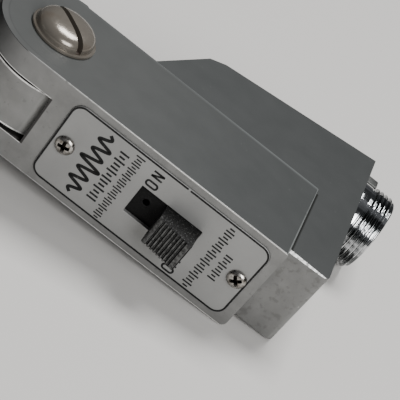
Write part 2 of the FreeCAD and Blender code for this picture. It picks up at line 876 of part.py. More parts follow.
def make_head_neck():
    """The tongue in the fork: a round knuckle, a neck and a flange in the head."""
    pivot_x = -size("pivot_from_end")
    pivot_y = -size("pivot_depth")
    half = size("knuckle_half")
    deep = size("neck_half_deep")
    knuckle = rod("neck_knuckle", size("knuckle_radius"), "z", (pivot_x, pivot_y, -half), half * 2)
    stem = box("neck_stem", (-size("neck_end"), pivot_x), (pivot_y - deep, pivot_y + deep),
               (-half, half))
    flange_start = size("head_start") + size("shell_wall") + size("layer_gap")
    thick, spread = size("flange_thick"), size("flange_spread")
    flange = box("neck_flange", (-(flange_start + thick), -flange_start),
                 (pivot_y - deep - spread, pivot_y + deep + spread), (-(half + spread), half + spread))
    bore = rod("neck_bore", size("pivot_radius") + size("pivot_room"), "z",
               (pivot_x, pivot_y, -half - PAST), half * 2 + PAST * 2)
    wire_way = rod("neck_wire_way", size("wire_way"), "x",
                   (-(flange_start + thick + PAST), pivot_y, 0), size("wire_way_long"))
    screw_ways = [rod(f"flange_screw_way_{index}", size("small_shank") + size("screw_room"), "x",
                      (-(flange_start + thick + PAST), y, 0), thick + PAST * 2)
                  for index, y in enumerate(neck_screw_depths())]
    return node(cut("head_neck_solid", fuse("neck_blank", knuckle, stem, flange), bore, wire_way,
                    *screw_ways), "head_neck")


def make_neck_collar():
    """A dark ring round the neck, under the head."""
    pivot_y = -size("pivot_depth")
    start = size("collar_start")
    ring = box("collar_blank", (-(start + size("collar_long")), -start),
               (pivot_y - size("collar_half_deep"), pivot_y + size("collar_half_deep")),
               (-size("collar_half"), size("collar_half")))
    ring = rounded("collar_rounded", ring, (1, 0, 0), [(lambda p: True, size("collar_corner"))])
    deep, half = neck_way_sizes()
    way = box("collar_way", (-(start + size("collar_long") + PAST), -(start - PAST)),
              (pivot_y - deep, pivot_y + deep), (-half, half))
    threads = [rod(f"collar_thread_{index}", size("small_shank") + size("layer_gap"), "x",
                   (-(start + size("collar_long") + PAST), y, 0), size("small_shank_long"))
               for index, y in enumerate(neck_screw_depths())]
    return node(cut("neck_collar_solid", ring, way, *threads), "neck_collar")


def neck_way_sizes():
    """Half the depth and half the width of the openings the neck passes through."""
    gap = size("layer_gap")
    return size("neck_half_deep") + gap, size("knuckle_half") + gap


def head_block(name, inset, front, rear):
    """A block of the head's outline, drawn in by an inset, between two depths."""
    start = -(size("head_start") + inset)
    end = -(size("head_end") - inset)
    half = size("head_half") - inset
    blank = box(f"{name}_blank", (end, start), (front, rear), (-half, half))
    radius = size("head_corner") - inset * 0.8
    far = end.value
    return rounded(f"{name}_rounded", blank, (0, 1, 0), [
        (lambda p: abs(p.x - far) < 0.01, radius * 1.5),
        (lambda p: abs(p.x - far) > 0.01, radius),
    ])


def make_head_shells():
    """The rear shell and the front frame, which meet at the head's split."""
    wall = size("shell_wall")
    split = -size("head_split")
    front = -size("head_front")
    rear = -size("head_rear")
    pivot_y = -size("pivot_depth")
    outer = head_block("rear_outer", as_size(0), split, rear)
    inner = head_block("rear_inner", wall, split - PAST, rear - wall)
    deep, half = neck_way_sizes()
    start, reach = size("head_start"), wall + PAST
    neck_way = box("rear_neck_way", (-(start + reach), -(start - reach)),
                   (pivot_y - deep, pivot_y + deep), (-half, half))
    room = size("screw_room")
    neck_screw_ways = [rod(f"neck_screw_way_{index}", size("small_shank") + room, "x",
                           (-(start + reach), y, 0), reach * 2)
                       for index, y in enumerate(neck_screw_depths())]
    shell = cut("rear_shell_open", outer, inner, neck_way, neck_screw_ways[1])
    bosses = []
    boss_holes = []
    for row, column, x, z in head_screw_places():
        bosses.append(rod(f"head_boss_{row}_{column}", size("head_post_radius"), "y", (x, split, z),
                          rear - split - wall / 2))
        boss_holes.append(rod(f"head_boss_hole_{row}_{column}", size("small_shank") + room, "y",
                              (x, split - PAST, z), rear - split + PAST * 2))
        boss_holes.append(rod(f"head_boss_sink_{row}_{column}", size("small_head") + room, "y",
                              (x, rear - size("head_sink") - size("layer_gap"), z), wall + PAST))
    node(cut("head_rear_shell_solid", fuse("rear_shell_bossed", shell, *bosses), *boss_holes),
         "head_rear_shell")
    frame_outer = head_block("frame_outer", as_size(0), front, split - size("layer_gap"))
    frame_inner = head_block("frame_inner", wall, front + wall * 1.2, split + PAST)
    opening = head_block("frame_opening", size("grille_margin"), front - PAST, front + wall * 2)
    front_way = box("front_neck_way", (-(start + reach), -(start - reach)),
                    (pivot_y - deep, pivot_y + deep), (-half, half))
    frame = cut("front_frame_open", frame_outer, frame_inner, opening, front_way, neck_screw_ways[0])
    posts = []
    threads = []
    for row, column, x, z in head_screw_places():
        post_front = -size("head_post_front")
        posts.append(rod(f"frame_post_{row}_{column}", size("head_post_radius"), "y",
                         (x, post_front, z), split - post_front - size("layer_gap")))
        threads.append(rod(f"frame_thread_{row}_{column}", size("small_shank"), "y",
                           (x, post_front + size("head_post_floor"), z), split - post_front))
    node(cut("head_front_frame_solid", fuse("front_frame_posted", frame, *posts), *threads),
         "head_front_frame")


def neck_screw_depths():
    """The two neck screws' places in depth, before and behind the neck."""
    pivot_y = -size("pivot_depth")
    reach = size("neck_half_deep") + size("neck_screw_past")
    return [pivot_y - reach, pivot_y + reach]


def head_screw_places():
    """The four head screws: row, column, x and z."""
    rows = [-size("head_post_low"), -size("head_post_high")]
    return [(row, column, rows[row], size("head_post_side") * (2 * column - 1))
            for row in range(2) for column in range(2)]


def make_head_screws():
    """Four screws that close the head."""
    seat = -size("head_rear") - size("head_sink")
    long = size("head_split") - size("head_rear") + size("head_post_floor")
    screws = [pan_screw(f"head_screw_{row}_{column}", x, seat, z, "-y", long)
              for row, column, x, z in head_screw_places()]
    node(group("head_screws_group", *screws), "head_screws")


def make_neck_screws():
    """Two screws inside the head that clamp its shells between the neck's flange and collar."""
    gap = size("layer_gap")
    shank = size("small_shank") + gap
    seat = -(size("head_start") + gap + size("shell_wall") + size("flange_thick"))
    head, thick, long = size("small_head"), size("neck_screw_head"), size("neck_screw_long")
    screws = [turned(f"neck_screw_{index}", [
        (-thick, 0),
        (-thick, head),
        (-gap, head),
        (-gap, shank),
        (long, shank),
        (long, 0),
    ], "+x", (seat, y, 0)) for index, y in enumerate(neck_screw_depths())]
    node(group("neck_screws_group", *screws), "neck_screws")


def make_grille():
    """The slotted grille with its mesh and cloth behind it."""
    front = -size("head_front")
    margin = size("grille_margin") + size("layer_gap")
    thick = size("grille_thick")
    sunk = size("grille_sunk")
    back = front + sunk + thick
    blank = head_block("grille_outer", margin, front + sunk, back)
    slots = []
    rib, pitch = size("grille_rib"), size("grille_pitch")
    border = size("grille_border")
    start = size("head_start") + margin + border
    half = size("head_half") - margin - border
    for index in range(GRILLE_SLOTS):
        low = -(start + pitch * (index + 1) - rib)
        reach = half - border if index in (0, GRILLE_SLOTS - 1) else half
        slots.append(box(f"grille_slot_{index}", (low, low + pitch - rib),
                         (front - PAST, back + PAST), (-reach, reach)))
    node(cut("grille_solid", blank, *slots), "grille")
    gap = size("layer_gap")
    mesh_back = back + gap + size("mesh_thick")
    node(head_block("grille_mesh_plate", margin, back + gap, mesh_back), "grille_mesh")
    cloth_back = mesh_back + gap + size("cloth_thick")
    node(head_block("wind_cloth_plate", margin, mesh_back + gap, cloth_back), "wind_cloth")


# ---------------------------------------------------------------- capsule

def make_capsule():
    """The moving-coil capsule in its rubber ring."""
    x = -size("capsule_x")
    y = -(size("capsule_front") + size("capsule_rear")) / 2
    front = -size("capsule_front")
    rear = -size("capsule_rear")
    radius = size("capsule_radius")
    wall = size("capsule_wall")
    depth = rear - front
    node(turned("capsule_case_solid", [
        (0, radius - wall),
        (0, radius),
        (depth, radius),
        (depth, size("capsule_vent")),
        (depth - wall, size("capsule_vent")),
        (depth - wall, radius - wall),
    ], "+y", (x, front, 0)), "capsule_case")
    ring = size("capsule_ring_radius")
    gap = size("seat_gap")
    node(turned("capsule_ring_solid", [
        (0, radius + gap),
        (0, ring),
        (size("capsule_ring_long"), ring),
        (size("capsule_ring_long"), radius + gap),
    ], "+y", (x, y - size("capsule_ring_long") / 2, 0)), "capsule_ring")
    inside = radius - wall
    seat = front + size("cover_sunk")
    hole_radius, hole_ring = size("cover_hole"), size("cover_hole_ring")
    cover = rod("capsule_cover_disc", inside - gap, "y", (x, seat, 0), size("cover_thick"))
    holes = [rod("capsule_cover_hole_mid", hole_radius, "y", (x, front, 0), size("plate_drop"))]
    for index in range(COVER_HOLES):
        angle = math.radians(360 * index / COVER_HOLES)
        holes.append(rod(f"capsule_cover_hole_{index}", hole_radius, "y",
                         (x + hole_ring * math.cos(angle), front, hole_ring * math.sin(angle)),
                         size("plate_drop")))
    node(cut("capsule_cover_solid", cover, *holes), "capsule_cover")
    node(turned("diaphragm_solid", [
        (1.05, 0),
        (1.1, 1.6),
        (1.9, size("dome_radius")),
        (2.0, inside - size("film_edge")),
        (2.4, inside - size("film_edge")),
        (2.4, size("dome_radius")),
        (1.5, 1.2),
        (1.45, 0),
    ], "+y", (x, seat, 0)), "diaphragm")
    coil_in = size("pole_radius") + size("voice_coil_room")
    coil_out = coil_in + size("voice_coil_wall")
    coil_front = size("voice_coil_front")
    coil_rear = coil_front + size("voice_coil_long")
    node(turned("voice_coil_solid", [
        (coil_front, coil_in),
        (coil_front, coil_out),
        (coil_rear, coil_out),
        (coil_rear, coil_in),
    ], "+y", (x, seat, 0)), "voice_coil")
    plate = size("plate_iron")
    plate_front = front + size("plate_drop")
    outer = inside - gap
    plate_hole = coil_out + size("voice_coil_room")
    node(turned("top_plate_solid", [
        (0, plate_hole),
        (0, outer),
        (plate, outer),
        (plate, plate_hole),
    ], "+y", (x, plate_front, 0)), "top_plate")
    magnet = size("magnet_long")
    magnet_in, magnet_out = size("magnet_inner"), outer - wall
    node(turned("magnet_solid", [
        (0, magnet_in),
        (0, magnet_out),
        (magnet, magnet_out),
        (magnet, magnet_in),
    ], "+y", (x, plate_front + plate + gap, 0)), "magnet")
    pole_long = plate + magnet + gap
    node(turned("pole_piece_solid", [
        (0, 0),
        (0, size("pole_radius")),
        (pole_long, size("pole_radius")),
        (pole_long, outer),
        (pole_long + plate, outer),
        (pole_long + plate, 0),
    ], "+y", (x, plate_front + gap, 0)), "pole_piece")


def check_and_export():
    """Stop on any failed object or shape, then write one file per sub-part."""
    DOCUMENT.recompute()
    for item in DOCUMENT.Objects:
        if "Invalid" in item.State or "Error" in item.State:
            raise RuntimeError(f"{item.Name} failed: {item.State}")
    os.makedirs("parts", exist_ok=True)
    labels = [item.Label for item in NODES]
    if len(set(labels)) != len(labels) or len(labels) > 60:
        raise RuntimeError("node names must be unique and at most 60")
    for item in NODES:
        shape = item.Shape
        if shape.isNull() or not shape.isValid() or not shape.Solids:
            raise RuntimeError(f"{item.Label}: bad shape")
        shape.exportStep(f"parts/{item.Label}.step")
        print(f"{item.Label}: {len(shape.Solids)} solid(s), {shape.Volume:.1f} mm3")


make_sheet()
make_fork_body()
make_base_housing()
make_housing_screws()
make_nameplate()
make_nameplate_screws()
make_switch_frame()
make_switch_knob()
make_switch_contact()
make_switch_board()
make_switch_terminals()
make_switch_screws()
make_transformer()
make_connector()
make_pivot()
make_head_neck()
make_neck_collar()
make_head_shells()
make_head_screws()
make_neck_screws()
make_grille()
make_capsule()
check_and_export()
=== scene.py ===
import json
import math

import bmesh
import bpy
from mathutils import Matrix, Vector


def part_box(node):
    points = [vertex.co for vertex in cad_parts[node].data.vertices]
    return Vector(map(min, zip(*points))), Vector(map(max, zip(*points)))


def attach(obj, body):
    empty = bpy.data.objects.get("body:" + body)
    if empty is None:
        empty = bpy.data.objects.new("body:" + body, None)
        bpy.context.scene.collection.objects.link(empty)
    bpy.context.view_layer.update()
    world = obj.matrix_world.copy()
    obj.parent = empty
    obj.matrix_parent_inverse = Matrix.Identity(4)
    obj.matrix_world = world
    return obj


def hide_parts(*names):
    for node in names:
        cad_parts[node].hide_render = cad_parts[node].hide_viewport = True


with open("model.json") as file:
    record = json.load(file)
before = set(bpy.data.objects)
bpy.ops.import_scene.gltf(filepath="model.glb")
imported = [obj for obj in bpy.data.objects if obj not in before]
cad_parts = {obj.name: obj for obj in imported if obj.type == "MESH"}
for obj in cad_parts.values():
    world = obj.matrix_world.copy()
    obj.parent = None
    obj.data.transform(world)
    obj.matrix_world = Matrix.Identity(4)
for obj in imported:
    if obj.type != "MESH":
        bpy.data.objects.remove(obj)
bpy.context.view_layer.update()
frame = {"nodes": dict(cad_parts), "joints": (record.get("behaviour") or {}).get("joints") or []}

# The looks of a dynamic microphone with a tilting head. All lengths are metres.
# Frame: +X out of the cable connector, -Y out of the nameplate, +Z its right side.

MM = 0.001
X, Y, Z = (1, 0, 0), (0, 1, 0), (0, 0, 1)
PAST = 1 * MM  # how far a cutter runs beyond a surface

BAR_LOW, BAR_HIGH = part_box("fork_body")
HOUSING_LOW, HOUSING_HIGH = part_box("base_housing")
PLATE_LOW, PLATE_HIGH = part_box("nameplate")
HEAD_LOW, HEAD_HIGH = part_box("head_front_frame")[0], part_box("head_rear_shell")[1]
PIVOT = Vector(next(joint["pos_m"] for joint in frame["joints"] if joint["name"] == "head_tilt"))
SLOT_END = -52.95 * MM
STEP_X, STEP_Y = -8.05 * MM, -15.45 * MM  # the housing's inner corner, against the bar
BACK_X, BACK_Y = -33.8 * MM, 2.6 * MM  # where the housing's sloping back ends
WINDOW_TOP, WINDOW_END, WINDOW_HALF = -33.05 * MM, -20.95 * MM, 2.98 * MM
PLATE_ROUND = 2.2 * MM
PLATE_SCREWS = (-46.75 * MM, -11.8 * MM)
SWITCH_SCREWS = (-37.7 * MM, -16.3 * MM)
HOUSING_SCREWS = (-12.6 * MM, -30.4 * MM)
HEAD_SCREWS = [(x * MM, z * MM) for x in (-88.0, -121.0) for z in (-15.2, 15.2)]
COLLAR_SCREW = 8.1 * MM
SCREW_WAY, HEAD_WAY = 1.05 * MM, 2.05 * MM  # radii that let a small screw and its head pass
CAPSULE_X = -107.0 * MM


# ---------------------------------------------------------------- mesh helpers

def scaled(*points):
    """Points given in millimetres, in metres."""
    return [tuple(value * MM for value in point) for point in points]


def from_bmesh(name, shape):
    """Turn a bmesh into a named piece."""
    bmesh.ops.recalc_face_normals(shape, faces=shape.faces)
    mesh = bpy.data.meshes.new(name)
    shape.to_mesh(mesh)
    shape.free()
    piece = bpy.data.objects.new(name, mesh)
    bpy.context.scene.collection.objects.link(piece)
    return piece


def smooth(piece):
    """Mark every face smooth."""
    for face in piece.data.polygons:
        face.use_smooth = True
    return piece


def modify(piece, kind, **settings):
    """Apply one modifier to a piece's mesh."""
    change = piece.modifiers.new("change", kind)
    for name, value in settings.items():
        setattr(change, name, value)
    graph = bpy.context.evaluated_depsgraph_get()
    mesh = bpy.data.meshes.new_from_object(piece.evaluated_get(graph))
    piece.modifiers.clear()
    piece.data = mesh
    return piece


def soften(piece, width, segments=3, angle=30):
    """Round a piece's sharp edges and keep its flat faces flat."""
    modify(smooth(piece), "BEVEL", width=width, segments=segments, limit_method="ANGLE",
           angle_limit=math.radians(angle), harden_normals=True, miter_outer="MITER_ARC")
    return smooth(piece)


def carve(piece, cutters, operation="DIFFERENCE"):
    """Cut bmesh shapes out of a piece, or join them to it."""
    for shape in cutters:
        cutter = from_bmesh("cutter", shape)
        modify(piece, "BOOLEAN", operation=operation, solver="EXACT", object=cutter)
        bpy.data.objects.remove(cutter)
    return piece


def aim(direction):
    """The turn from +Z to a direction."""
    return Vector(Z).rotation_difference(Vector(direction)).to_matrix().to_4x4()


def bands(shape, rings, closed=False):
    """Add rings of points to a bmesh, with faces between neighbours, and return their vertices."""
    rows = [[shape.verts.new(point) for point in ring] for ring in rings]
    if closed:
        rows.append(rows[0])
    for first, second in zip(rows, rows[1:]):
        for index in range(len(first)):
            after = (index + 1) % len(first)
            shape.faces.new((first[index], first[after], second[after], second[index]))
    return rows


def loft(rings, shape=None):
    """A bmesh over rings with the same number of points, its two ends capped."""
    if shape is None:
        shape = bmesh.new()
    rows = bands(shape, rings)
    shape.faces.new(list(reversed(rows[0])))
    shape.faces.new(rows[-1])
    return shape


def prism(points, low, high):
    """A bmesh of an outline in X and Y, drawn from low to high along Z."""
    return loft([[(x, y, level) for x, y in points] for level in (low, high)])


def upright(points, low, high):
    """A bmesh of an outline in X and Z, drawn from low to high along Y."""
    return loft([[(x, level, z) for x, z in points] for level in (low, high)])


def block(left, right, front, back, top, bottom=None):
    """A bmesh box from its faces in X, Y and Z. Without a bottom it is as deep as it is high."""
    return prism([(left, front), (right, front), (right, back), (left, back)],
                 -top if bottom is None else bottom, top)


def rod(place, direction, radius, length, segments=32):
    """A bmesh cylinder from a place along a direction."""
    shape = bmesh.new()
    bmesh.ops.create_cone(shape, cap_ends=True, segments=segments, radius1=radius, radius2=radius,
                          depth=length)
    shape.transform(Matrix.Translation((0, 0, length / 2)))
    shape.transform(Matrix.Translation(place) @ aim(direction))
    return shape


def lathe(name, profile, axis, place, segments=96):
    """Turn (along, radius) points about an axis: a piece with smooth sides."""
    shape = bmesh.new()
    rings = []
    for along, radius in profile:
        steps = 1 if radius < 1e-7 else segments
        angles = [2 * math.pi * step / segments for step in range(steps)]
        rings.append([shape.verts.new((radius * math.cos(angle), radius * math.sin(angle), along))
                      for angle in angles])
    for first, second in zip(rings, rings[1:]):
        for step in range(segments):
            after = (step + 1) % segments
            corners = dict.fromkeys([first[step % len(first)], first[after % len(first)],
                                     second[after % len(second)], second[step % len(second)]])
            if len(corners) > 2:
                shape.faces.new(list(corners))
    shape.transform(Matrix.Translation(place) @ aim(axis))
    return smooth(from_bmesh(name, shape))


def arc(centre, radius, start, end, steps):
    """Points on an arc, angles in degrees."""
    angles = [math.radians(start + (end - start) * step / steps) for step in range(steps + 1)]
    return [(centre[0] + radius * math.cos(angle), centre[1] + radius * math.sin(angle))
            for angle in angles]


def round_rect(x_low, x_high, y_low, y_high, radius, steps=8):
    """A rectangle's outline with round corners."""
    right, left, top, bottom = x_high - radius, x_low + radius, y_high - radius, y_low + radius
    points = []
    for quarter, centre in enumerate(((right, top), (left, top), (left, bottom), (right, bottom))):
        points += arc(centre, radius, 90 * quarter, 90 * quarter + 90, steps)
    return points


def cad_copy(name, node):
    """A clean copy of a CAD node's mesh, with flat regions joined into whole faces."""
    shape = bmesh.new()
    shape.from_mesh(frame["nodes"][node].data)
    bmesh.ops.remove_doubles(shape, verts=shape.verts, dist=2e-6)
    bmesh.ops.dissolve_limit(shape, angle_limit=math.radians(0.6), verts=shape.verts,
                             edges=shape.edges, use_dissolve_boundaries=False)
    return from_bmesh(name, shape)


def ease(shape, width, segments, chosen):
    """Round the edges of a bmesh whose two ends both pass a test."""
    edges = [edge for edge in shape.edges if all(chosen(vert.co) for vert in edge.verts)]
    bmesh.ops.bevel(shape, geom=edges, offset=width, segments=segments, profile=0.5,
                    affect="EDGES")


def join(name, pieces):
    """Join finished pieces into the first one, which takes the name."""
    whole = bmesh.new()
    for piece in pieces:
        whole.from_mesh(piece.data)
    first = pieces[0]
    whole.to_mesh(first.data)
    whole.free()
    for piece in pieces[1:]:
        bpy.data.objects.remove(piece)
    first.name = name
    return first


def finish_piece(piece, body, look, slot_name, *nodes):
    """Give a piece its material and body, and hide any CAD nodes it stands for. The slot name is not
    used.
    """
    piece.data.materials.clear()
    piece.data.materials.append(LOOK[look])
    if nodes:
        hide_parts(*nodes)
    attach(piece, body)


# ---------------------------------------------------------------- materials

def math_step(operation):
    """A method of Value that adds one math node."""
    def add(self, other=0.0):
        return self.surface.math(operation, self, other)
    return add


class Value:
    """A number or colour that nodes work out. Arithmetic on it adds more nodes."""

    __add__, __sub__, __mul__ = math_step("ADD"), math_step("SUBTRACT"), math_step("MULTIPLY")
    __rmul__, __abs__, most = math_step("MULTIPLY"), math_step("ABSOLUTE"), math_step("MAXIMUM")
    sine, root = math_step("SINE"), math_step("SQRT")

    def __init__(self, surface, socket):
        self.surface = surface
        self.socket = socket

    def __rsub__(self, other):
        return self.surface.math("SUBTRACT", other, self)

    def __neg__(self):
        return self * -1.0

    def ramp(self, low, high, to_low=0.0, to_high=1.0):
        """Map a range of the value onto another, clamped."""
        names = ("Value", "From Min", "From Max", "To Min", "To Max")
        node = self.surface.add("MapRange", zip(names, (self, low, high, to_low, to_high)))
        return Value(self.surface, node.outputs["Result"])

    def near(self, place, reach, soft):
        """1 where the value is within reach of a place, fading over a soft distance."""
        return abs(self - place).ramp(reach, reach + soft, 1.0, 0.0)

    def blend(self, first, second):
        """Blend two numbers by this factor."""
        return first * (1.0 - self) + second * self

    def under(self, factor, paint):
        """This colour with paint over it, as thick as a factor says."""
        return self.surface.mix(factor, self, paint)

    def spotted(self, paint, amount, grain, detail, shift, low, high, stretch=(1, 1, 1)):
        """This colour with scattered spots of paint."""
        spots = self.surface.noise(grain, detail, stretch, shift=shift).ramp(low, high)
        return self.under(spots * amount, paint)


class Surface:
    """A procedural material in object coordinates, built from small named steps."""

    def __init__(self, name, metallic=0.0):
        self.material = bpy.data.materials.new(name)
        self.material.use_nodes = True
        self.tree = self.material.node_tree
        self.shader = self.tree.nodes["Principled BSDF"]
        self.set("Metallic", metallic)
        self.place = self.add("TexCoord")
        self.x, self.y, self.z = self.split("Object")

    def feed(self, socket, value):
        """Link a socket, or set it to a plain number or colour."""
        if isinstance(value, Value):
            self.tree.links.new(value.socket, socket)
        elif isinstance(value, bpy.types.NodeSocket):
            self.tree.links.new(value, socket)
        elif isinstance(value, tuple) and len(value) == 3 and socket.type == "RGBA":
            socket.default_value = (*value, 1)
        else:
            socket.default_value = value

    def add(self, kind, inputs=(), **settings):
        """Add a node, set it up and feed its inputs."""
        node = self.tree.nodes.new("ShaderNode" + kind)
        for name, value in settings.items():
            setattr(node, name, value)
        for name, value in inputs:
            self.feed(node.inputs[name], value)
        return node

    def set(self, name, value):
        self.feed(self.shader.inputs[name], value)

    def split(self, output):
        """Three components of the object coordinates, or of the surface's normal."""
        node = self.add("SeparateXYZ", [(0, self.place.outputs[output])])
        return [Value(self, socket) for socket in node.outputs]

    def math(self, operation, first, second):
        node = self.add("Math", [(0, first), (1, second)], operation=operation)
        return Value(self, node.outputs[0])

    def noise(self, grain, detail=3.0, stretch=(1, 1, 1), rough=0.5, shift=0.0):
        """Noise whose features are about a grain across, in metres."""
        mapping = self.add("Mapping", [("Scale", stretch), ("Vector", self.place.outputs["Object"]),
                                       ("Location", (shift, shift * 0.7, shift * 1.3))])
        node = self.add("TexNoise", [("Scale", 1.0 / grain), ("Detail", detail), ("Roughness", rough),
                                     ("Vector", mapping.outputs["Vector"])])
        return Value(self, node.outputs["Fac"])

    def mix(self, factor, first, second):
        """Blend two colours."""
        node = self.add("Mix", [("Factor", factor), ("A", first), ("B", second)], data_type="RGBA")
        return Value(self, node.outputs["Result"])

    def clouds(self, grain, dark, light, detail=4, low=0.3, high=0.7, rough=0.5):
        """Two colours that drift into each other."""
        return self.mix(self.noise(grain, detail, rough=rough).ramp(low, high), dark, light)

    def finish(self, color, rough, *layers):
        """Put on colour, roughness and height layers, each (height 0 to 1, depth in metres)."""
        self.set("Base Color", color)
        self.set("Roughness", rough)
        target = self.shader.inputs["Normal"]
        for height, depth in reversed(layers):
            bump = self.add("Bump", [("Strength", 1.0), ("Distance", depth), ("Height", height)])
            self.feed(target, bump.outputs["Normal"])
            target = bump.inputs["Normal"]
        return self.material


def enamel(surface):
    """Colour and roughness of the grey enamel."""
    color = surface.clouds(14 * MM, (0.0345, 0.0375, 0.0367), (0.0385, 0.0415, 0.0405), 3)
    color = color.spotted((0.075, 0.08, 0.078), 1.0, 0.7 * MM, 2, 3.1, 0.74, 0.79)
    # Painted shade: the enamel is made darker towards the lower end.
    color = color.under(surface.x.ramp(-50 * MM, -4 * MM, 0.0, 0.42), (0.016, 0.0178, 0.0172))
    surface.set("Specular IOR Level", 0.35)
    return color, surface.noise(5 * MM, 4, shift=1.7).ramp(0.3, 0.7, 0.39, 0.44)


def bare_metal(surface):
    """Colour and roughness of bare, lightly stained cast metal."""
    color = surface.clouds(4 * MM, (0.205, 0.205, 0.200), (0.262, 0.262, 0.255), 5, 0.35, 0.68, 0.6)
    color = color.spotted((0.12, 0.12, 0.118), 0.45, 0.9 * MM, 2, 5.3, 0.66, 0.74)
    return color, surface.noise(2.2 * MM, 4, shift=2.2).ramp(0.3, 0.7, 0.40, 0.55)


def casting(surface):
    """Height layers of a casting: faint waves and a fine grain."""
    return ((surface.noise(9 * MM, 2, shift=0.4), 0.05 * MM),
            (surface.noise(0.5 * MM, 2, shift=0.9), 0.005 * MM))


def fork_material():
    """Grey enamel with a bare front, worn front edges with a painted highlight, and slot walls painted
    dark as shade.
    """
    surface = Surface("fork_casting")
    x, y, side = surface.x, surface.y, abs(surface.z)
    face_x, face_y, face_z = surface.split("Normal")
    color, rough = enamel(surface)
    bare, bare_rough = bare_metal(surface)
    depth, front = -y, -BAR_LOW.y
    facing = (-face_y).ramp(0.55, 0.7)
    bare = color.under(facing, bare)
    # The front edges are worn to bare metal and carry a painted highlight that grows towards the lower
    # end.
    rim = side.ramp(BAR_HIGH.z - 0.17 * MM, BAR_HIGH.z - 0.11 * MM)
    lip = depth.ramp(front - 0.20 * MM, front - 0.12 * MM)
    worn = surface.noise(2.0 * MM, 4, shift=7.7).ramp(0.30, 0.42, 0.25, 1.0)
    edge = rim * lip * worn * x.ramp(-60 * MM, -30 * MM, 0.2, 1.0)

    # The round arm is rubbed bare ahead of the pivot, outside a thin dark line.
    dx, dy = x - PIVOT.x, y - PIVOT.y
    reach = (dx * dx + dy * dy).root()
    ahead = dx.ramp(-0.5 * MM, 4.5 * MM, 1.0, 0.0) * dy.ramp(0.0, -3.0 * MM)
    rubbed = ahead * reach.ramp(9.9 * MM, 10.1 * MM) * 0.35
    line = ahead * reach.near(9.95 * MM, 0.05 * MM, 0.12 * MM)
    facing = facing.most(rubbed)
    bare = bare.under(rubbed, (0.22, 0.222, 0.22))
    # Painted shade along the upper part of the front edge.
    bare = bare.under(rim * x.ramp(-45 * MM, -20 * MM, 0.8, 0.0), (0.05, 0.052, 0.05))
    bare = bare.under(line * 0.6, (0.03, 0.03, 0.03))
    away = (-face_x).ramp(0.10, 0.75)
    bare = bare.under(away * 0.85, (0.035, 0.036, 0.035))
    facing = facing * (1.0 - away)
    color = bare.under(edge, (0.85, 0.85, 0.83))

    # Corners that face back and outward get a painted highlight, broken up by the wear noise, most of
    # all along the rear ridge.
    behind = face_y.ramp(0.12, 0.4).most(face_x.ramp(0.12, 0.4))
    outward = abs(face_z).ramp(0.15, 0.45)
    color = color.under(behind * (outward * worn) * 0.65, (0.17, 0.178, 0.176))
    rear = y.ramp(BAR_HIGH.y - 1.2 * MM, BAR_HIGH.y - 0.5 * MM)
    ridge = rear * x.ramp(-48 * MM, -20 * MM, 0.2, 1.0) * outward
    color = color.under(ridge * 0.75, (0.105, 0.112, 0.111))

    # The slot's edges get a painted highlight, broken up by the wear noise, and its walls and end are
    # painted black as shade in the gap.
    lit = side.near(5.13 * MM, 0.03 * MM, 0.04 * MM) * x.ramp(SLOT_END, SLOT_END + 0.1 * MM, 1.0, 0.0)
    color = color.under(lit * worn, (0.80, 0.80, 0.78))
    inside = side.ramp(5.02 * MM, 5.08 * MM, 1.0, 0.0)
    ending = x.ramp(SLOT_END + 0.34 * MM, SLOT_END + 0.44 * MM, 1.0, 0.0)
    near_lip = depth.ramp(front - 0.70 * MM, front - 0.45 * MM)
    # Painted shade: the slot's walls and its end near the lip are made near black.
    gap_shade = inside * ending * near_lip.most(abs(face_z).ramp(0.5, 0.7))
    color = color.under(gap_shade * 0.95, (0.008, 0.007, 0.006))
    edge = edge.most(lit * 0.7)
    facing = facing * (1.0 - gap_shade)
    surface.set("Metallic", (facing * 0.75).most(edge))
    rough = facing.blend(rough, bare_rough) - edge * 0.12
    return surface.finish(color, rough, *casting(surface))


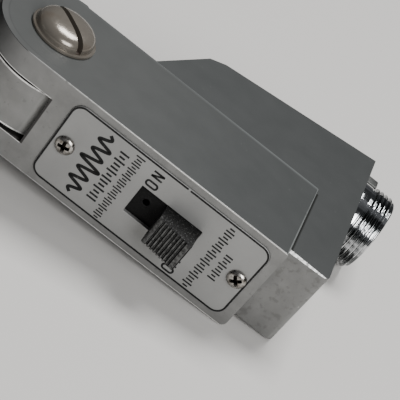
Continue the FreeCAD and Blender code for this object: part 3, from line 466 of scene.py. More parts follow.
def housing_material():
    """Grey enamel, painted darker as shade, with a bare stained toe, a worn front edge with a painted
    highlight and painted shade along the seam.
    """
    surface = Surface("housing_casting")
    x, y = surface.x, surface.y
    face_x, face_y, _ = surface.split("Normal")
    color, rough = enamel(surface)
    bare, bare_rough = bare_metal(surface)
    forward, depth, toe = -face_y, -y, -HOUSING_LOW.y
    near = depth.ramp(toe - 1.3 * MM, toe - 1.2 * MM)
    nose = forward.ramp(0.15, 0.5) * face_x.ramp(0.15, 0.35)
    face = near * forward.ramp(0.84, 0.92).most(nose)
    bare = bare.under(0.16, (0.10, 0.10, 0.097))
    bare = bare.spotted((0.11, 0.108, 0.10), 0.4, 1.1 * MM, 4, 9.1, 0.54, 0.64)
    # Painted shade: the housing's enamel is made darker than the bar's.
    color = color.under(0.12, (0.03, 0.03, 0.03))
    # Painted shade along the seam where the housing meets the bar; there the enamel also loses its
    # sheen.
    below = depth.ramp(15.2 * MM, 15.4 * MM) * x.near(STEP_X, 0.40 * MM, 0.25 * MM)
    behind = x.ramp(-7.9 * MM, -7.7 * MM, 1.0, 0.0) * y.near(STEP_Y, 0.15 * MM, 0.3 * MM)
    seam_shade = below.most(behind)
    color = color.under(seam_shade * 0.75, (0.012, 0.012, 0.011)).under(face, bare)
    # The worn chamfer on the toe's front edge carries a painted highlight, broken up by scuffs.
    cut = abs(surface.z).ramp(HOUSING_HIGH.z - 0.60 * MM, HOUSING_HIGH.z - 0.50 * MM)
    slant = near * cut * (forward.ramp(0.15, 0.35) * (1.0 - face))
    dents = surface.noise(1.5 * MM, 2, shift=8.3).ramp(0.62, 0.68)
    color = color.under(near * dents * face_x.ramp(0.35, 0.6) * 0.8, (0.70, 0.70, 0.68))
    scuffed_highlight = surface.noise(0.8 * MM, 3, shift=2.9).ramp(0.40, 0.50, 0.35, 1.0)
    color = color.under(slant * scuffed_highlight, (0.95, 0.95, 0.93))
    surface.set("Metallic", (face * 0.7).most(slant * 0.35))
    surface.set("Specular IOR Level", seam_shade.blend(0.35, 0.01))
    return surface.finish(color, face.blend(rough, bare_rough), *casting(surface))


def cast_material(name, skin, metallic=0.0):
    """A casting with one skin all over: enamel or bare_metal."""
    surface = Surface(name, metallic)
    return surface.finish(*skin(surface), *casting(surface))


def neck_material():
    """Satin bare metal with a painted reflection on faces turned towards the lower end, painted shade
    on its flat sides and rims worn bright with a painted highlight.
    """
    surface = Surface("neck_casting", 0.8)
    color, rough = bare_metal(surface)
    side = abs(surface.z)
    worn = surface.noise(1.6 * MM, 3, shift=5.9).ramp(0.30, 0.45, 0.3, 1.0)
    # The rims are worn bright and carry a painted highlight.
    edge = side.near(4.37 * MM, 0.10 * MM, 0.06 * MM) * worn
    color = color.under(0.15, (0.34, 0.34, 0.33))
    # Painted reflection: faces turned towards the lower end are made lighter.
    painted_reflection = surface.split("Normal")[0].ramp(0.34, 0.48)
    color = color.under(painted_reflection * 0.9, (0.56, 0.56, 0.54))
    # Painted shade on the flat sides that sit in the fork's slot.
    color = color.under(side.ramp(4.48 * MM, 4.56 * MM), (0.02, 0.02, 0.019))
    color = color.under(edge, (0.92, 0.92, 0.90))
    return surface.finish(color, rough - edge * 0.15, *casting(surface))


def metal_material(name, dark, light, rough_low, rough_high, grain=1.2 * MM, stretch=(1, 1, 1),
                   tarnish=None, metallic=1.0):
    """Solid metal with cloudy colour, fine scratches and tarnish spots."""
    surface = Surface(name, metallic)
    color = surface.clouds(4 * grain, dark, light)
    if tarnish:
        color = color.spotted(tarnish, 0.8, 2 * grain, 4, 4.4, 0.55, 0.72)
    lines = surface.noise(0.25 * grain, 2, stretch=stretch, shift=2.7)
    return surface.finish(color, lines.ramp(0.3, 0.7, rough_low, rough_high), (lines, 0.004 * MM))


def chrome_material():
    """Chrome plate with long dark streaks along the barrel, painted as reflections."""
    surface = Surface("chrome_connector", 1.0)
    color = surface.clouds(3 * MM, (0.52, 0.53, 0.54), (0.74, 0.75, 0.76))
    # Painted reflections: long dark streaks along the barrel.
    color = color.spotted((0.06, 0.066, 0.066), 0.86, 3.4 * MM, 3, 4.4, 0.44, 0.54, (0.12, 1, 1))
    lines = surface.noise(0.3 * MM, 2, shift=2.7)
    return surface.finish(color, lines.ramp(0.3, 0.7, 0.05, 0.14), (lines, 0.004 * MM))


def plastic_material(name, dark, light, rough_low, rough_high):
    """Moulded plastic, rubber or fibre with a grained skin and dust."""
    surface = Surface(name)
    color = surface.clouds(3 * MM, dark, light, low=0.35)
    color = color.spotted((0.22, 0.22, 0.21), 0.35, 0.3 * MM, 3, 6.1, 0.68, 0.78)
    skin = surface.noise(0.24 * MM, 3, shift=1.3)
    return surface.finish(color, skin.ramp(0.3, 0.7, rough_low, rough_high), (skin, 0.01 * MM))


def knob_material():
    """Black moulding with a rough, dusty skin on its sides, and ridge tops rubbed lighter with a
    painted highlight.
    """
    surface = Surface("knob_plastic")
    skin = surface.noise(0.30 * MM, 4, shift=1.3, rough=0.65)
    chalk = surface.noise(0.22 * MM, 3, shift=6.1).ramp(0.60, 0.74)
    proud = surface.y.ramp(BAR_LOW.y + 0.3 * MM, BAR_LOW.y - 0.3 * MM)
    color = surface.mix(skin.ramp(0.35, 0.7), (0.003, 0.003, 0.003), (0.010, 0.010, 0.0095))
    color = color.under(chalk * proud * 0.75, (0.20, 0.20, 0.195))
    # Ridge tops that face the front are rubbed lighter and carry a painted highlight.
    tops = (-surface.split("Normal")[1]).ramp(0.80, 0.95)
    rubbed = tops * proud * surface.noise(0.5 * MM, 3, shift=2.2).ramp(0.35, 0.65, 0.2, 1.0)
    color = color.under(rubbed * 0.7, (0.15, 0.15, 0.145))
    surface.set("Specular IOR Level", 0.12)
    return surface.finish(color, skin.ramp(0.3, 0.7, 0.42, 0.65), (skin, 0.12 * MM))


def screw_material():
    """Worn nickel, with painted shade down in the cross of each nameplate screw."""
    surface = Surface("plate_screw_nickel", 1.0)
    color = surface.clouds(1.2 * MM, (0.22, 0.205, 0.185), (0.52, 0.50, 0.47))
    color = color.spotted((0.13, 0.11, 0.09), 0.8, 0.7 * MM, 4, 4.4, 0.52, 0.66)
    # Painted shade at the bottom of each cross recess.
    sunk = (PLATE_LOW.y - surface.y).ramp(0.30 * MM, 0.52 * MM, 1.0, 0.0)
    top, low = (surface.x.near(x, 1.2 * MM, 0.1 * MM) for x in PLATE_SCREWS)
    middle = top.most(low) * surface.z.near(0.0, 1.2 * MM, 0.1 * MM)
    color = color.under(sunk * middle, (0.012, 0.010, 0.008))
    return surface.finish(color, surface.noise(0.4 * MM, 3, shift=2.7).ramp(0.3, 0.7, 0.16, 0.34))


def ink_material():
    """Black printed ink, slightly worn."""
    surface = Surface("plate_ink")
    worn = surface.noise(0.35 * MM, 3, shift=8.2).ramp(0.62, 0.76)
    surface.set("Specular IOR Level", 0.2)
    color = surface.mix(worn, (0.006, 0.006, 0.006), (0.06, 0.06, 0.059))
    return surface.finish(color, worn.ramp(0.0, 1.0, 0.5, 0.65))


def plate_material():
    """Satin anodised aluminium with a fine etched grain and a few stains."""
    surface = Surface("plate_aluminium", 0.55)
    color = surface.clouds(7 * MM, (0.262, 0.262, 0.256), (0.302, 0.302, 0.294))
    color = color.spotted((0.20, 0.20, 0.195), 0.4, 0.5 * MM, 3, 3.3, 0.70, 0.78)
    grain = surface.noise(0.12 * MM, 2, stretch=(1, 1, 6), shift=1.9)
    return surface.finish(color, grain.ramp(0.3, 0.7, 0.46, 0.60), (grain, 0.002 * MM))


def layered_material(name, along, pitch, dark, light, metallic, rough):
    """Thin layers stacked along one axis: laminations, windings or a laminate's edge."""
    surface = Surface(name, metallic)
    wave = (getattr(surface, along) * (2 * math.pi / pitch)).sine()
    band = (wave + surface.noise(2 * MM, 3) * 0.8).ramp(-0.6, 1.0)
    grain = surface.noise(1.5 * MM, 3, shift=2.0)
    return surface.finish(surface.mix(band, dark, light), grain.ramp(0.3, 0.7, rough, rough + 0.15),
                          (band, 0.03 * MM))


def cloth_material():
    """Fine woven black cloth."""
    surface = Surface("wind_cloth")
    turns = 2 * math.pi / (0.45 * MM)
    weave = ((surface.x * turns).sine() * (surface.z * turns).sine()).ramp(-1.0, 1.0)
    fuzz = surface.noise(0.3 * MM, 3)
    color = surface.mix(weave, (0.010, 0.010, 0.011), (0.045, 0.044, 0.046))
    color = color.under(fuzz.ramp(0.6, 0.8), (0.08, 0.08, 0.08))
    return surface.finish(color, fuzz.ramp(0.2, 0.8, 0.8, 0.97), (weave, 0.05 * MM), (fuzz, 0.02 * MM))


def film_material():
    """A thin stiff film with pressed rings."""
    surface = Surface("diaphragm_film")
    dx = surface.x - CAPSULE_X
    distance = (dx * dx + surface.z * surface.z).root()
    band = (distance * (2 * math.pi / (0.9 * MM))).sine().ramp(-1.0, 1.0)
    color = surface.mix(band, (0.50, 0.45, 0.30), (0.66, 0.62, 0.46))
    return surface.finish(color, surface.noise(2 * MM, 3).ramp(0.3, 0.7, 0.2, 0.35),
                          (band, 0.05 * MM))


def make_materials():
    """All materials by name."""
    metal, plastic, layered = metal_material, plastic_material, layered_material
    return {
        "fork": fork_material(),
        "housing": housing_material(),
        "plate": plate_material(),
        "ink": ink_material(),
        "plate_screw": screw_material(),
        "chrome": chrome_material(),
        "knob": knob_material(),
        "neck": neck_material(),
        "cloth": cloth_material(),
        "film": film_material(),
        "frame": cast_material("front_frame_casting", bare_metal, 0.75),
        "head": cast_material("head_enamel", enamel),
        "steel": metal("tinned_steel", (0.40, 0.40, 0.39), (0.58, 0.575, 0.56), 0.28, 0.45,
                       tarnish=(0.22, 0.20, 0.17)),
        "nickel": metal("nickel_screw", (0.50, 0.47, 0.42), (0.72, 0.69, 0.64), 0.16, 0.30,
                        tarnish=(0.20, 0.17, 0.14)),
        "pivot": metal("bronze_nickel", (0.150, 0.135, 0.114), (0.195, 0.175, 0.149), 0.17, 0.25,
                       grain=2.0 * MM, stretch=(1.0, 1.6, 1), tarnish=(0.15, 0.123, 0.096),
                       metallic=0.55),
        "key": metal("lug_metal", (0.06, 0.062, 0.06), (0.12, 0.122, 0.118), 0.4, 0.6,
                     tarnish=(0.06, 0.058, 0.055)),
        "grille": metal("grille_chrome", (0.50, 0.50, 0.50), (0.66, 0.66, 0.655), 0.18, 0.32,
                        stretch=(1, 1, 0.1), tarnish=(0.36, 0.35, 0.33)),
        "wire": metal("mesh_wire", (0.24, 0.24, 0.235), (0.40, 0.40, 0.39), 0.30, 0.45,
                      grain=0.6 * MM),
        "brass": metal("contact_brass", (0.58, 0.42, 0.17), (0.76, 0.58, 0.28), 0.2, 0.34,
                       tarnish=(0.30, 0.20, 0.09)),
        "aluminium": metal("turned_aluminium", (0.48, 0.48, 0.485), (0.62, 0.62, 0.625), 0.25, 0.4,
                           stretch=(0.2, 1, 1)),
        "iron": metal("plated_iron", (0.34, 0.34, 0.33), (0.46, 0.46, 0.45), 0.3, 0.45,
                      tarnish=(0.25, 0.21, 0.16)),
        "magnet": metal("ground_magnet", (0.12, 0.12, 0.125), (0.19, 0.19, 0.195), 0.4, 0.6,
                        stretch=(1, 0.2, 1)),
        # Painted shade for the bottom of the pivot slots.
        "slot_shade": plastic("slot_shade", (0.022, 0.014, 0.009), (0.044, 0.028, 0.018), 0.55, 0.8),
        "black": plastic("black_moulding", (0.020, 0.020, 0.020), (0.040, 0.040, 0.039), 0.40, 0.60),
        "rubber": plastic("rubber_ring", (0.022, 0.022, 0.022), (0.036, 0.036, 0.036), 0.65, 0.85),
        "phenolic": layered("board_laminate", "y", 0.25 * MM, (0.13, 0.06, 0.025),
                            (0.22, 0.11, 0.05), 0.0, 0.42),
        "core": layered("core_laminations", "z", 0.36 * MM, (0.07, 0.07, 0.072),
                        (0.17, 0.17, 0.17), 0.8, 0.42),
        "winding": layered("coil_winding", "y", 0.22 * MM, (0.22, 0.07, 0.02),
                           (0.48, 0.20, 0.07), 0.3, 0.28),
        "voice": layered("voice_coil_winding", "y", 0.16 * MM, (0.35, 0.13, 0.05),
                         (0.66, 0.32, 0.14), 0.7, 0.25),
    }


# ---------------------------------------------------------------- handle

def make_fork():
    """The fork bar: two round-ended arms, the slot, the plate's recess and the hollow."""
    low, high = BAR_LOW, BAR_HIGH
    rear_round = 11.0 * MM
    points = arc((PIVOT.x, PIVOT.y), PIVOT.y - low.y, -90, -180, 40)
    points += arc((low.x + rear_round, high.y - rear_round), rear_round, 180, 90, 32)
    points += [(high.x, high.y), (high.x, low.y)]
    bar = prism(points, low.z, high.z)
    tiny = 0.001 * MM
    ease(bar, 1.3 * MM, 6, lambda co: co.x > high.x - tiny and co.z < low.z + tiny)
    ease(bar, 0.45 * MM, 3, lambda co: co.z > high.z - tiny and (
        co.x > high.x - tiny or co.y > high.y - tiny))
    piece = from_bmesh("fork_bar", bar)
    slot_half, room, margin = 5.0 * MM, 0.05 * MM, 0.6 * MM
    cavity = low.y + 2.6 * MM
    recess = round_rect(PLATE_LOW.x - room, PLATE_HIGH.x + room, PLATE_LOW.z - room,
                        PLATE_HIGH.z + room, PLATE_ROUND)
    cutters = [
        block(low.x - PAST, SLOT_END, low.y - PAST, high.y + PAST, slot_half),
        rod((PIVOT.x, PIVOT.y, -slot_half), Z, 11.25 * MM, 2 * slot_half, 96),
        block(-44.6 * MM, -10.7 * MM, cavity, high.y + PAST, 6.8 * MM),
        upright(recess, low.y - PAST, low.y + 0.5 * MM),
        block(WINDOW_TOP - margin, WINDOW_END + margin, low.y - PAST, cavity + PAST,
              WINDOW_HALF + margin),
        block(-40.5 * MM, -13.6 * MM, low.y, low.y + 0.95 * MM, 3.7 * MM),
        rod((PIVOT.x, PIVOT.y, low.z - PAST), Z, 2.52 * MM, 2 * high.z + 2 * PAST, 48),
    ]
    cutters += [rod((x, low.y - PAST, 0), Y, 0.95 * MM, 3.8 * MM, 24)
                for x in PLATE_SCREWS + SWITCH_SCREWS]
    soften(carve(piece, cutters), 0.20 * MM)
    modify(piece, "WEIGHTED_NORMAL", keep_sharp=True)
    finish_piece(piece, "handle", "fork", "painted_casting", "fork_body")


def make_housing():
    """The rear fin and the end block, with a worn chamfer on the toe."""
    low, high = HOUSING_LOW, HOUSING_HIGH
    shoulder_x, shoulder_y = -36.9 * MM, 0.5 * MM
    nose, wall = 1.0 * MM, 1.5 * MM
    points = [(STEP_X, low.y)] + arc((-nose, low.y + nose), nose, -90, 0, 8)
    points += [(0, high.y), (BACK_X, BACK_Y), (shoulder_x, shoulder_y), (low.x, STEP_Y),
               (STEP_X, STEP_Y)]
    piece = from_bmesh("housing", prism(points, low.z, high.z))
    cable_wall = -2.5 * MM
    inner = [(STEP_X + wall, low.y + wall), (cable_wall, low.y + wall), (cable_wall, 8.15 * MM),
             (BACK_X, BACK_Y - wall), (shoulder_x + wall, shoulder_y - wall),
             (low.x + 1.95 * MM, STEP_Y - PAST), (STEP_X + wall, STEP_Y - PAST)]
    cutters = [prism(inner, low.z + wall, high.z - wall),
               rod((-4 * MM, 0, 0), X, 5.35 * MM, 6 * MM, 96),
               rod((-1.22 * MM, 0, 0), X, 7.25 * MM, 3 * MM, 96)]
    cutters += [rod((x, seat_depth(x), 0), Y, HEAD_WAY, 12 * MM, 48) for x in HOUSING_SCREWS]
    past = 0.6 * MM
    wide, narrow = 0.42 * MM + past, 0.16 * MM + past
    cutters.append(loft([[(x, low.y - past, high.z - cut), (x, low.y - past, high.z + past),
                          (x, low.y + cut, high.z + past)]
                         for x, cut in ((STEP_X - 0.1 * MM, wide), (0.1 * MM, narrow))]))
    soften(carve(piece, cutters), 0.3 * MM)
    modify(piece, "WEIGHTED_NORMAL", keep_sharp=True)
    finish_piece(piece, "handle", "housing", "painted_casting", "base_housing")


def seat_depth(x):
    """Depth at which a housing screw's head seats, on the sloping back."""
    return HOUSING_HIGH.y - x * (HOUSING_HIGH.y - BACK_Y) / BACK_X - 1.5 * MM


def cross_screw(place, direction, radius=1.9 * MM, long=3.0 * MM, turn=20):
    """A crowned screw with a cross recess. Direction points out of its head."""
    rise, shank = 0.85 * MM, 0.9 * MM
    profile = [(-long, 0), (-long, shank), (0, shank), (0, radius * 0.97), (0.12 * MM, radius)]
    for angle in map(math.radians, range(20, 90, 10)):
        profile.append((rise * math.sin(angle), radius * math.cos(angle) ** 0.8))
    piece = lathe("screw", profile + [(rise, 0)], Z, (0, 0, 0), 64)
    deep, wing, half = 0.95 * MM, radius * 0.70, 0.33 * MM
    outline = [(-wing, rise * 1.1), (wing, rise * 1.1), (wing * 0.45, rise - deep),
               (-wing * 0.45, rise - deep)]
    for angle in (turn, turn + 90):
        recess = loft([[(x, side * (1 if z > 0 else 0.7), z) for x, z in outline]
                       for side in (-half, half)])
        recess.transform(Matrix.Rotation(math.radians(angle), 4, "Z"))
        carve(piece, [recess])
    piece.data.transform(Matrix.Translation(place) @ aim(direction))
    return soften(piece, 0.05 * MM, 2, 35)


def make_screws():
    """The crossed screws of the nameplate, the housing and the head."""
    plates = [cross_screw((x, PLATE_LOW.y, 0), (0, -1, 0), 1.72 * MM, turn=turn)
              for x, turn in zip(PLATE_SCREWS, (12, 38))]
    finish_piece(join("plate_screws", plates), "handle", "plate_screw", "nickel_screw",
                 "nameplate_screws")
    backs = [cross_screw((x, seat_depth(x), 0), Y, long=16 * MM, turn=55 * index)
             for index, x in enumerate(HOUSING_SCREWS)]
    finish_piece(join("back_screws", backs), "handle", "nickel", "nickel_screw", "housing_screws")
    heads = [cross_screw((x, HEAD_HIGH.y - 1.15 * MM, z), Y, long=21 * MM, turn=25 * index)
             for index, (x, z) in enumerate(HEAD_SCREWS)]
    finish_piece(join("shell_screws", heads), "head", "nickel", "nickel_screw", "head_screws")


def strip(shape, points, width, depths, closed=False):
    """Add a flat raised line along (u, v) points: u runs along Z and v towards the head."""
    low, high = depths
    last = len(points) - 1
    rings = []
    for index, point in enumerate(points):
        before = points[index - 1] if closed or index else point
        after = points[(index + 1) % len(points)] if closed or index < last else point
        along = Vector((after[0] - before[0], after[1] - before[1])).normalized()
        across = Vector((-along.y, along.x)) * (width / 2)
        left, right = Vector(point) + across, Vector(point) - across
        rings.append([(-side.y, level, side.x) for side, level in
                      ((left, high), (left, low), (right, low), (right, high))])
    if closed:
        bands(shape, rings, closed=True)
    else:
        loft(rings, shape)


def letter(shape, kind, u, v, depths):
    """Add one plain letter, centred at (u, v)."""
    wide, tall, width = 0.95 * MM, 2.05 * MM, 0.36 * MM
    left, right, bottom, top = u - wide / 2, u + wide / 2, v - tall / 2, v + tall / 2
    if kind == "O":
        strip(shape, round_rect(left, right, bottom, top, wide * 0.46, 6), width, depths, True)
        return
    middle = v + tall * 0.04
    strokes = {
        "N": [[(left, top), (right, bottom)], [(right, bottom), (right, top)]],
        "F": [[(left, top), (right, top)], [(left, middle), (right - wide * 0.12, middle)]],
    }
    for line in [[(left, bottom), (left, top)]] + strokes[kind]:
        strip(shape, line, width, depths)


def make_nameplate():
    """The plate with its window, and the generic marks printed on it."""
    face, back = PLATE_LOW.y, PLATE_HIGH.y
    outline = round_rect(PLATE_LOW.x, PLATE_HIGH.x, PLATE_LOW.z, PLATE_HIGH.z, PLATE_ROUND, 12)
    piece = from_bmesh("nameplate_sheet", upright(outline, face, back))
    cutters = [block(WINDOW_TOP, WINDOW_END, face - PAST, back + PAST, WINDOW_HALF)]
    cutters += [rod((x, face - PAST, 0), Y, SCREW_WAY, 3 * MM) for x in PLATE_SCREWS]
    soften(carve(piece, cutters), 0.10 * MM)
    finish_piece(piece, "handle", "plate", "plate_aluminium", "nameplate")

    depths = face + 0.03 * MM, face - 0.02 * MM
    ink = bmesh.new()
    inset = 0.24 * MM
    border = round_rect(PLATE_LOW.z + inset, PLATE_HIGH.z - inset, -PLATE_HIGH.x + inset,
                        -PLATE_LOW.x - inset, 1.9 * MM, 10)
    nick, gap = 26.8 * MM, 0.22 * MM
    right = PLATE_HIGH.z - inset
    strip(ink, [(right, nick + gap)] + border + [(right, nick - gap)], 0.34 * MM, depths)
    wave = []
    for index in range(241):
        part = index / 240
        swell = (0.35 + 0.65 * math.sin(math.pi * part)) * (1 - 0.25 * math.cos(6 * math.pi * part))
        wave.append((-6.5 + 13.2 * part, 41.8 + 1.75 * swell * math.sin(12 * math.pi * part)))
    strip(ink, scaled(*wave), 0.60 * MM, depths)
    for row, start, end, tall, pitch, wide in (
            (38.3, -4.9, 5.5, 2.1, 0.80, 0.36), (35.9, -7.2, 6.9, 1.75, 0.56, 0.26),
            (17.5, -7.1, 7.0, 1.9, 0.66, 0.30), (15.0, -2.9, 2.4, 1.7, 0.66, 0.30)):
        for index in range(int((end - start) / pitch) + 1):
            u = start + pitch * index
            reach = tall / 2 * (0.74 + 0.26 * math.sin(index * 2.4 + row))
            strip(ink, scaled((u, row - reach), (u, row + reach)), wide * MM, depths)
    for kind, u, v in (("O", 4.15, 32.0), ("N", 6.1, 32.0), ("O", -6.6, 21.45),
                       ("F", -5.0, 21.45), ("F", -3.75, 21.45)):
        letter(ink, kind, u * MM, v * MM, depths)
    finish_piece(from_bmesh("plate_marks", ink), "handle", "ink", "black_insulator")


def make_knob():
    """The ridged button, the shutter under the plate and the carriage behind it."""
    face = BAR_LOW.y
    start, end, half = -27.9 * MM, -21.1 * MM, 2.83 * MM
    rise, peak = 4.4 * MM, 5.7 * MM
    pitch, groove, deep = 0.66 * MM, 0.36 * MM, 0.36 * MM
    climb = (peak - rise) / (end - start)
    base = face + 0.62 * MM
    outline = [(start, base), (start, face - rise + 0.15 * MM), (start + 0.15 * MM, face - rise)]
    along = 0.80 * MM
    while along + groove < end - start - 0.6 * MM:
        x, level = start + along, face - rise - climb * along
        outline += [(x, level), (x + 0.09 * MM, level + deep),
                    (x + groove - 0.07 * MM, level + deep), (x + groove, level - climb * groove)]
        along += pitch
    outline += [(end - 0.25 * MM, face - peak), (end, face - peak + 0.3 * MM), (end, base)]
    cap = soften(from_bmesh("knob_cap", prism(outline, -half, half)), 0.07 * MM, 2, 40)
    shutter_front, shutter_back = face + 0.58 * MM, face + 0.78 * MM
    hole = (-30.9 * MM, shutter_front, 0.35 * MM)
    shutter = from_bmesh("knob_shutter", block(-34.6 * MM, -15.4 * MM, shutter_front, shutter_back,
                                               3.45 * MM))
    carve(shutter, [
        rod((hole[0], shutter_front - PAST, hole[2]), Y, 0.62 * MM, 3 * MM),
        block(-18.1 * MM, -14 * MM, shutter_front - PAST, shutter_back + PAST, 1.8 * MM)])
    soften(shutter, 0.04 * MM, 2)
    ring = lathe("knob_ring", scaled((0, 0.62), (-0.04, 0.66), (-0.04, 0.92), (0, 1.0)), Y, hole, 32)
    can_front = face + 3.42 * MM
    stem = from_bmesh("knob_stem", block(-26.7 * MM, -22.3 * MM, base - 0.1 * MM,
                                         can_front + 0.5 * MM, 2.36 * MM))
    carriage = from_bmesh("knob_carriage", block(-28.45 * MM, -20.55 * MM, can_front + 0.08 * MM,
                                                 can_front + 1.48 * MM, 5.1 * MM))
    whole = join("switch_button", [cap, shutter, ring, soften(stem, 0.15 * MM, 2),
                                   soften(carriage, 0.2 * MM, 2)])
    finish_piece(whole, "knob", "knob", "black_knob", "switch_knob")


def make_switch_screws():
    """The flat screws under the nameplate, sunk below the shutter."""
    face = BAR_LOW.y + 0.96 * MM
    profile = scaled((-3.4, 0), (-3.4, 0.88), (-0.7, 0.88), (-0.05, 1.5), (0, 1.46), (0, 0))
    screws = []
    for x in SWITCH_SCREWS:
        slot = block(x - 0.22 * MM, x + 0.22 * MM, face - PAST, face + 0.35 * MM, 2 * MM)
        screws.append(carve(lathe("flat_screw", profile, (0, -1, 0), (x, face, 0), 48), [slot]))
    finish_piece(join("switch_flat_screws", screws), "handle", "steel", "tinned_steel",
                 "switch_screws")


def make_pivots():
    """The two large domed pivot screws, with a dark block painted as shade at the bottom of their
    slots.
    """
    radius, crown, rim = 5.85, 2.90, 0.5
    profile = [(-8.6, 0), (-8.6, 2.5), (0, 2.5), (0, radius - 0.06), (0.07, radius),
               (rim - 0.1, radius), (rim, radius - 0.12), (rim, radius - 0.42),
               (rim + 0.05, radius - 0.48)]
    for index in range(1, 25):
        angle = math.radians(90 * index / 24)
        profile.append((rim + (crown - rim) * math.sin(angle) ** 0.76,
                        (radius - 0.5) * abs(math.cos(angle)) ** 0.66))
    half, floor = 0.52 * MM, 0.52 * MM
    slot_turn = Matrix.Rotation(math.atan2(-0.655, 0.755), 4, "Z")
    for label, sign in (("right", 1), ("left", -1)):
        seat = Vector((PIVOT.x, PIVOT.y, (BAR_HIGH.z + 0.05 * MM) * sign))
        piece = lathe(f"pivot_{label}", scaled(*profile), (0, 0, sign), seat, 160)
        slot = block(-8 * MM, 8 * MM, -half, half, 5 * MM, floor)
        # A dark block at the bottom of each slot is painted shade.
        shade_block = block(-5.3 * MM, 5.3 * MM, -half, half, floor + 0.2 * MM, floor - 0.05 * MM)
        for shape in (slot, shade_block):
            shape.transform(Matrix.Translation(seat) @ Matrix.Scale(sign, 4, Z) @ slot_turn)
        soften(carve(piece, [slot]), 0.07 * MM, 3, 35)
        slot_shade_piece = soften(from_bmesh(f"pivot_grime_{label}", shade_block), 0.05 * MM, 2)
        finish_piece(piece, "handle", "pivot", "bronze_nickel", f"pivot_screw_{label}")
        finish_piece(slot_shade_piece, "handle", "slot_shade", "black_insulator")


def make_connector():
    """The chromed shell with real thread turns, and its cup."""
    crest, root, pitch = 7.94, 7.38, 0.94
    first, last = 2.2, 6.85
    around, count = 144, 90
    outline = [(-7.0, 4.4), (-7.0, 5.3), (-1.2, 5.3), (-1.2, 7.2), (0.03, 7.2), (0.03, 7.32),
               (0.18, 7.5), (1.75, 7.5), (1.9, 7.46), (2.02, root)]
    profiles = [[point] * around for point in outline]
    for index in range(count + 1):
        x = first + (last - first) * index / count
        fade = max(0.0, min(1.0, (x - first) / 0.9, (last - x) / 0.7))
        profile = []
        for spoke in range(around):
            phase = abs(2 * ((x / pitch - spoke / around) % 1.0) - 1)
            height = min(1.0, max(0.0, (phase - 0.12) / 0.72))
            profile.append((x, root + (crest - root) * height * fade))
        profiles.append(profile)
    rim = [(6.92, 7.34), (7.0, 7.2), (7.0, 6.62), (6.85, 6.4), (-0.2, 6.4), (-0.2, 4.4)]
    profiles += [[point] * around for point in rim]
    turns = [2 * math.pi * spoke / around for spoke in range(around)]
    rings = [scaled(*((x, radius * math.cos(angle), radius * math.sin(angle))
                      for (x, radius), angle in zip(profile, turns))) for profile in profiles]
    shape = bmesh.new()
    bands(shape, rings, closed=True)
    piece = smooth(from_bmesh("connector_thread", shape))
    modify(piece, "EDGE_SPLIT", split_angle=math.radians(40))
    finish_piece(piece, "handle", "chrome", "chrome_connector", "connector_shell")
    key = soften(cad_copy("connector_lug", "connector_key"), 0.22 * MM)
    finish_piece(key, "handle", "key", "bare_casting", "connector_key")
    disc = soften(cad_copy("insulator_disc", "connector_insulator"), 0.08 * MM, 2, 40)
    finish_piece(disc, "handle", "black", "black_insulator", "connector_insulator")
    nut = lathe("barrel_nut", scaled((0, 5.33), (0, 6.2), (0.2, 6.4), (1.9, 6.4), (2.15, 6.2),
                                     (2.15, 5.33), (0, 5.33)), (-1, 0, 0), (-2.53 * MM, 0, 0))
    finish_piece(nut, "handle", "chrome", "chrome_connector", "connector_nut")


# ---------------------------------------------------------------- head

def make_neck():
    """The knuckle in the fork, its neck and the flange inside the head."""
    half, end = 4.62 * MM, -80.15 * MM
    centre, way = PIVOT.y, -81 * MM
    piece = from_bmesh("neck_tongue", rod((PIVOT.x, centre, -half), Z, 10.9 * MM, 2 * half, 192))
    carve(piece, [block(end, PIVOT.x, centre - 6.5 * MM, centre + 6.5 * MM, half),
                  block(end, -78.35 * MM, centre - 9.7 * MM, centre + 9.7 * MM, 7.8 * MM)], "UNION")
    carve(piece, [rod((PIVOT.x, centre, -8 * MM), Z, 2.55 * MM, 16 * MM, 48),
                  rod((way, centre, 0), X, 2.2 * MM, 12 * MM),
                  rod((way, centre - COLLAR_SCREW, 0), X, SCREW_WAY, 4 * MM, 24),
                  rod((way, centre + COLLAR_SCREW, 0), X, SCREW_WAY, 4 * MM, 24)])
    finish_piece(soften(piece, 0.3 * MM, 4), "head", "neck", "bare_casting", "head_neck")
    collar = soften(cad_copy("collar_ring", "neck_collar"), 0.4 * MM, 4, 40)
    finish_piece(collar, "head", "black", "black_collar", "neck_collar")


def head_ring(y, inset, steps=14):
    """A ring of the head's outline at one depth, drawn in by an inset."""
    low_x, high_x = HEAD_LOW.x + inset, HEAD_HIGH.x - inset
    half = HEAD_HIGH.z - inset
    near, far = max(9.0 * MM - inset, 0.4 * MM), max(13.5 * MM - inset, 0.4 * MM)
    points = arc((high_x - near, half - near), near, 0, 90, steps)
    points += arc((low_x + far, half - far), far, 90, 180, steps)
    points += arc((low_x + far, -half + far), far, 180, 270, steps)
    points += arc((high_x - near, -half + near), near, 270, 360, steps)
    return [(x, y, z) for x, z in points]


def rounded_rings(flat_y, edge_y, radius, steps=8):
    """Rings that round the outline over from an edge's depth to a flat face's depth."""
    toward = 1 if flat_y > edge_y else -1
    angles = [math.radians(90 * index / steps) for index in range(steps + 1)]
    return [head_ring(flat_y - toward * radius * (1 - math.sin(angle)),
                      radius * (1 - math.cos(angle))) for angle in angles]


def neck_ways(side, length):
    """Cutters that let the neck and one of its screws into the head."""
    deep, half, start = 6.55 * MM, 4.65 * MM, -82 * MM
    return [block(start, -72 * MM, PIVOT.y - deep, PIVOT.y + deep, half),
            rod((start, PIVOT.y + side * COLLAR_SCREW, 0), X, SCREW_WAY, length, 24)]


def head_posts(start, profile):
    """Four turned posts that the head's screws run through."""
    return [lathe("post", profile, Y, (x, start, z), 32) for x, z in HEAD_SCREWS]


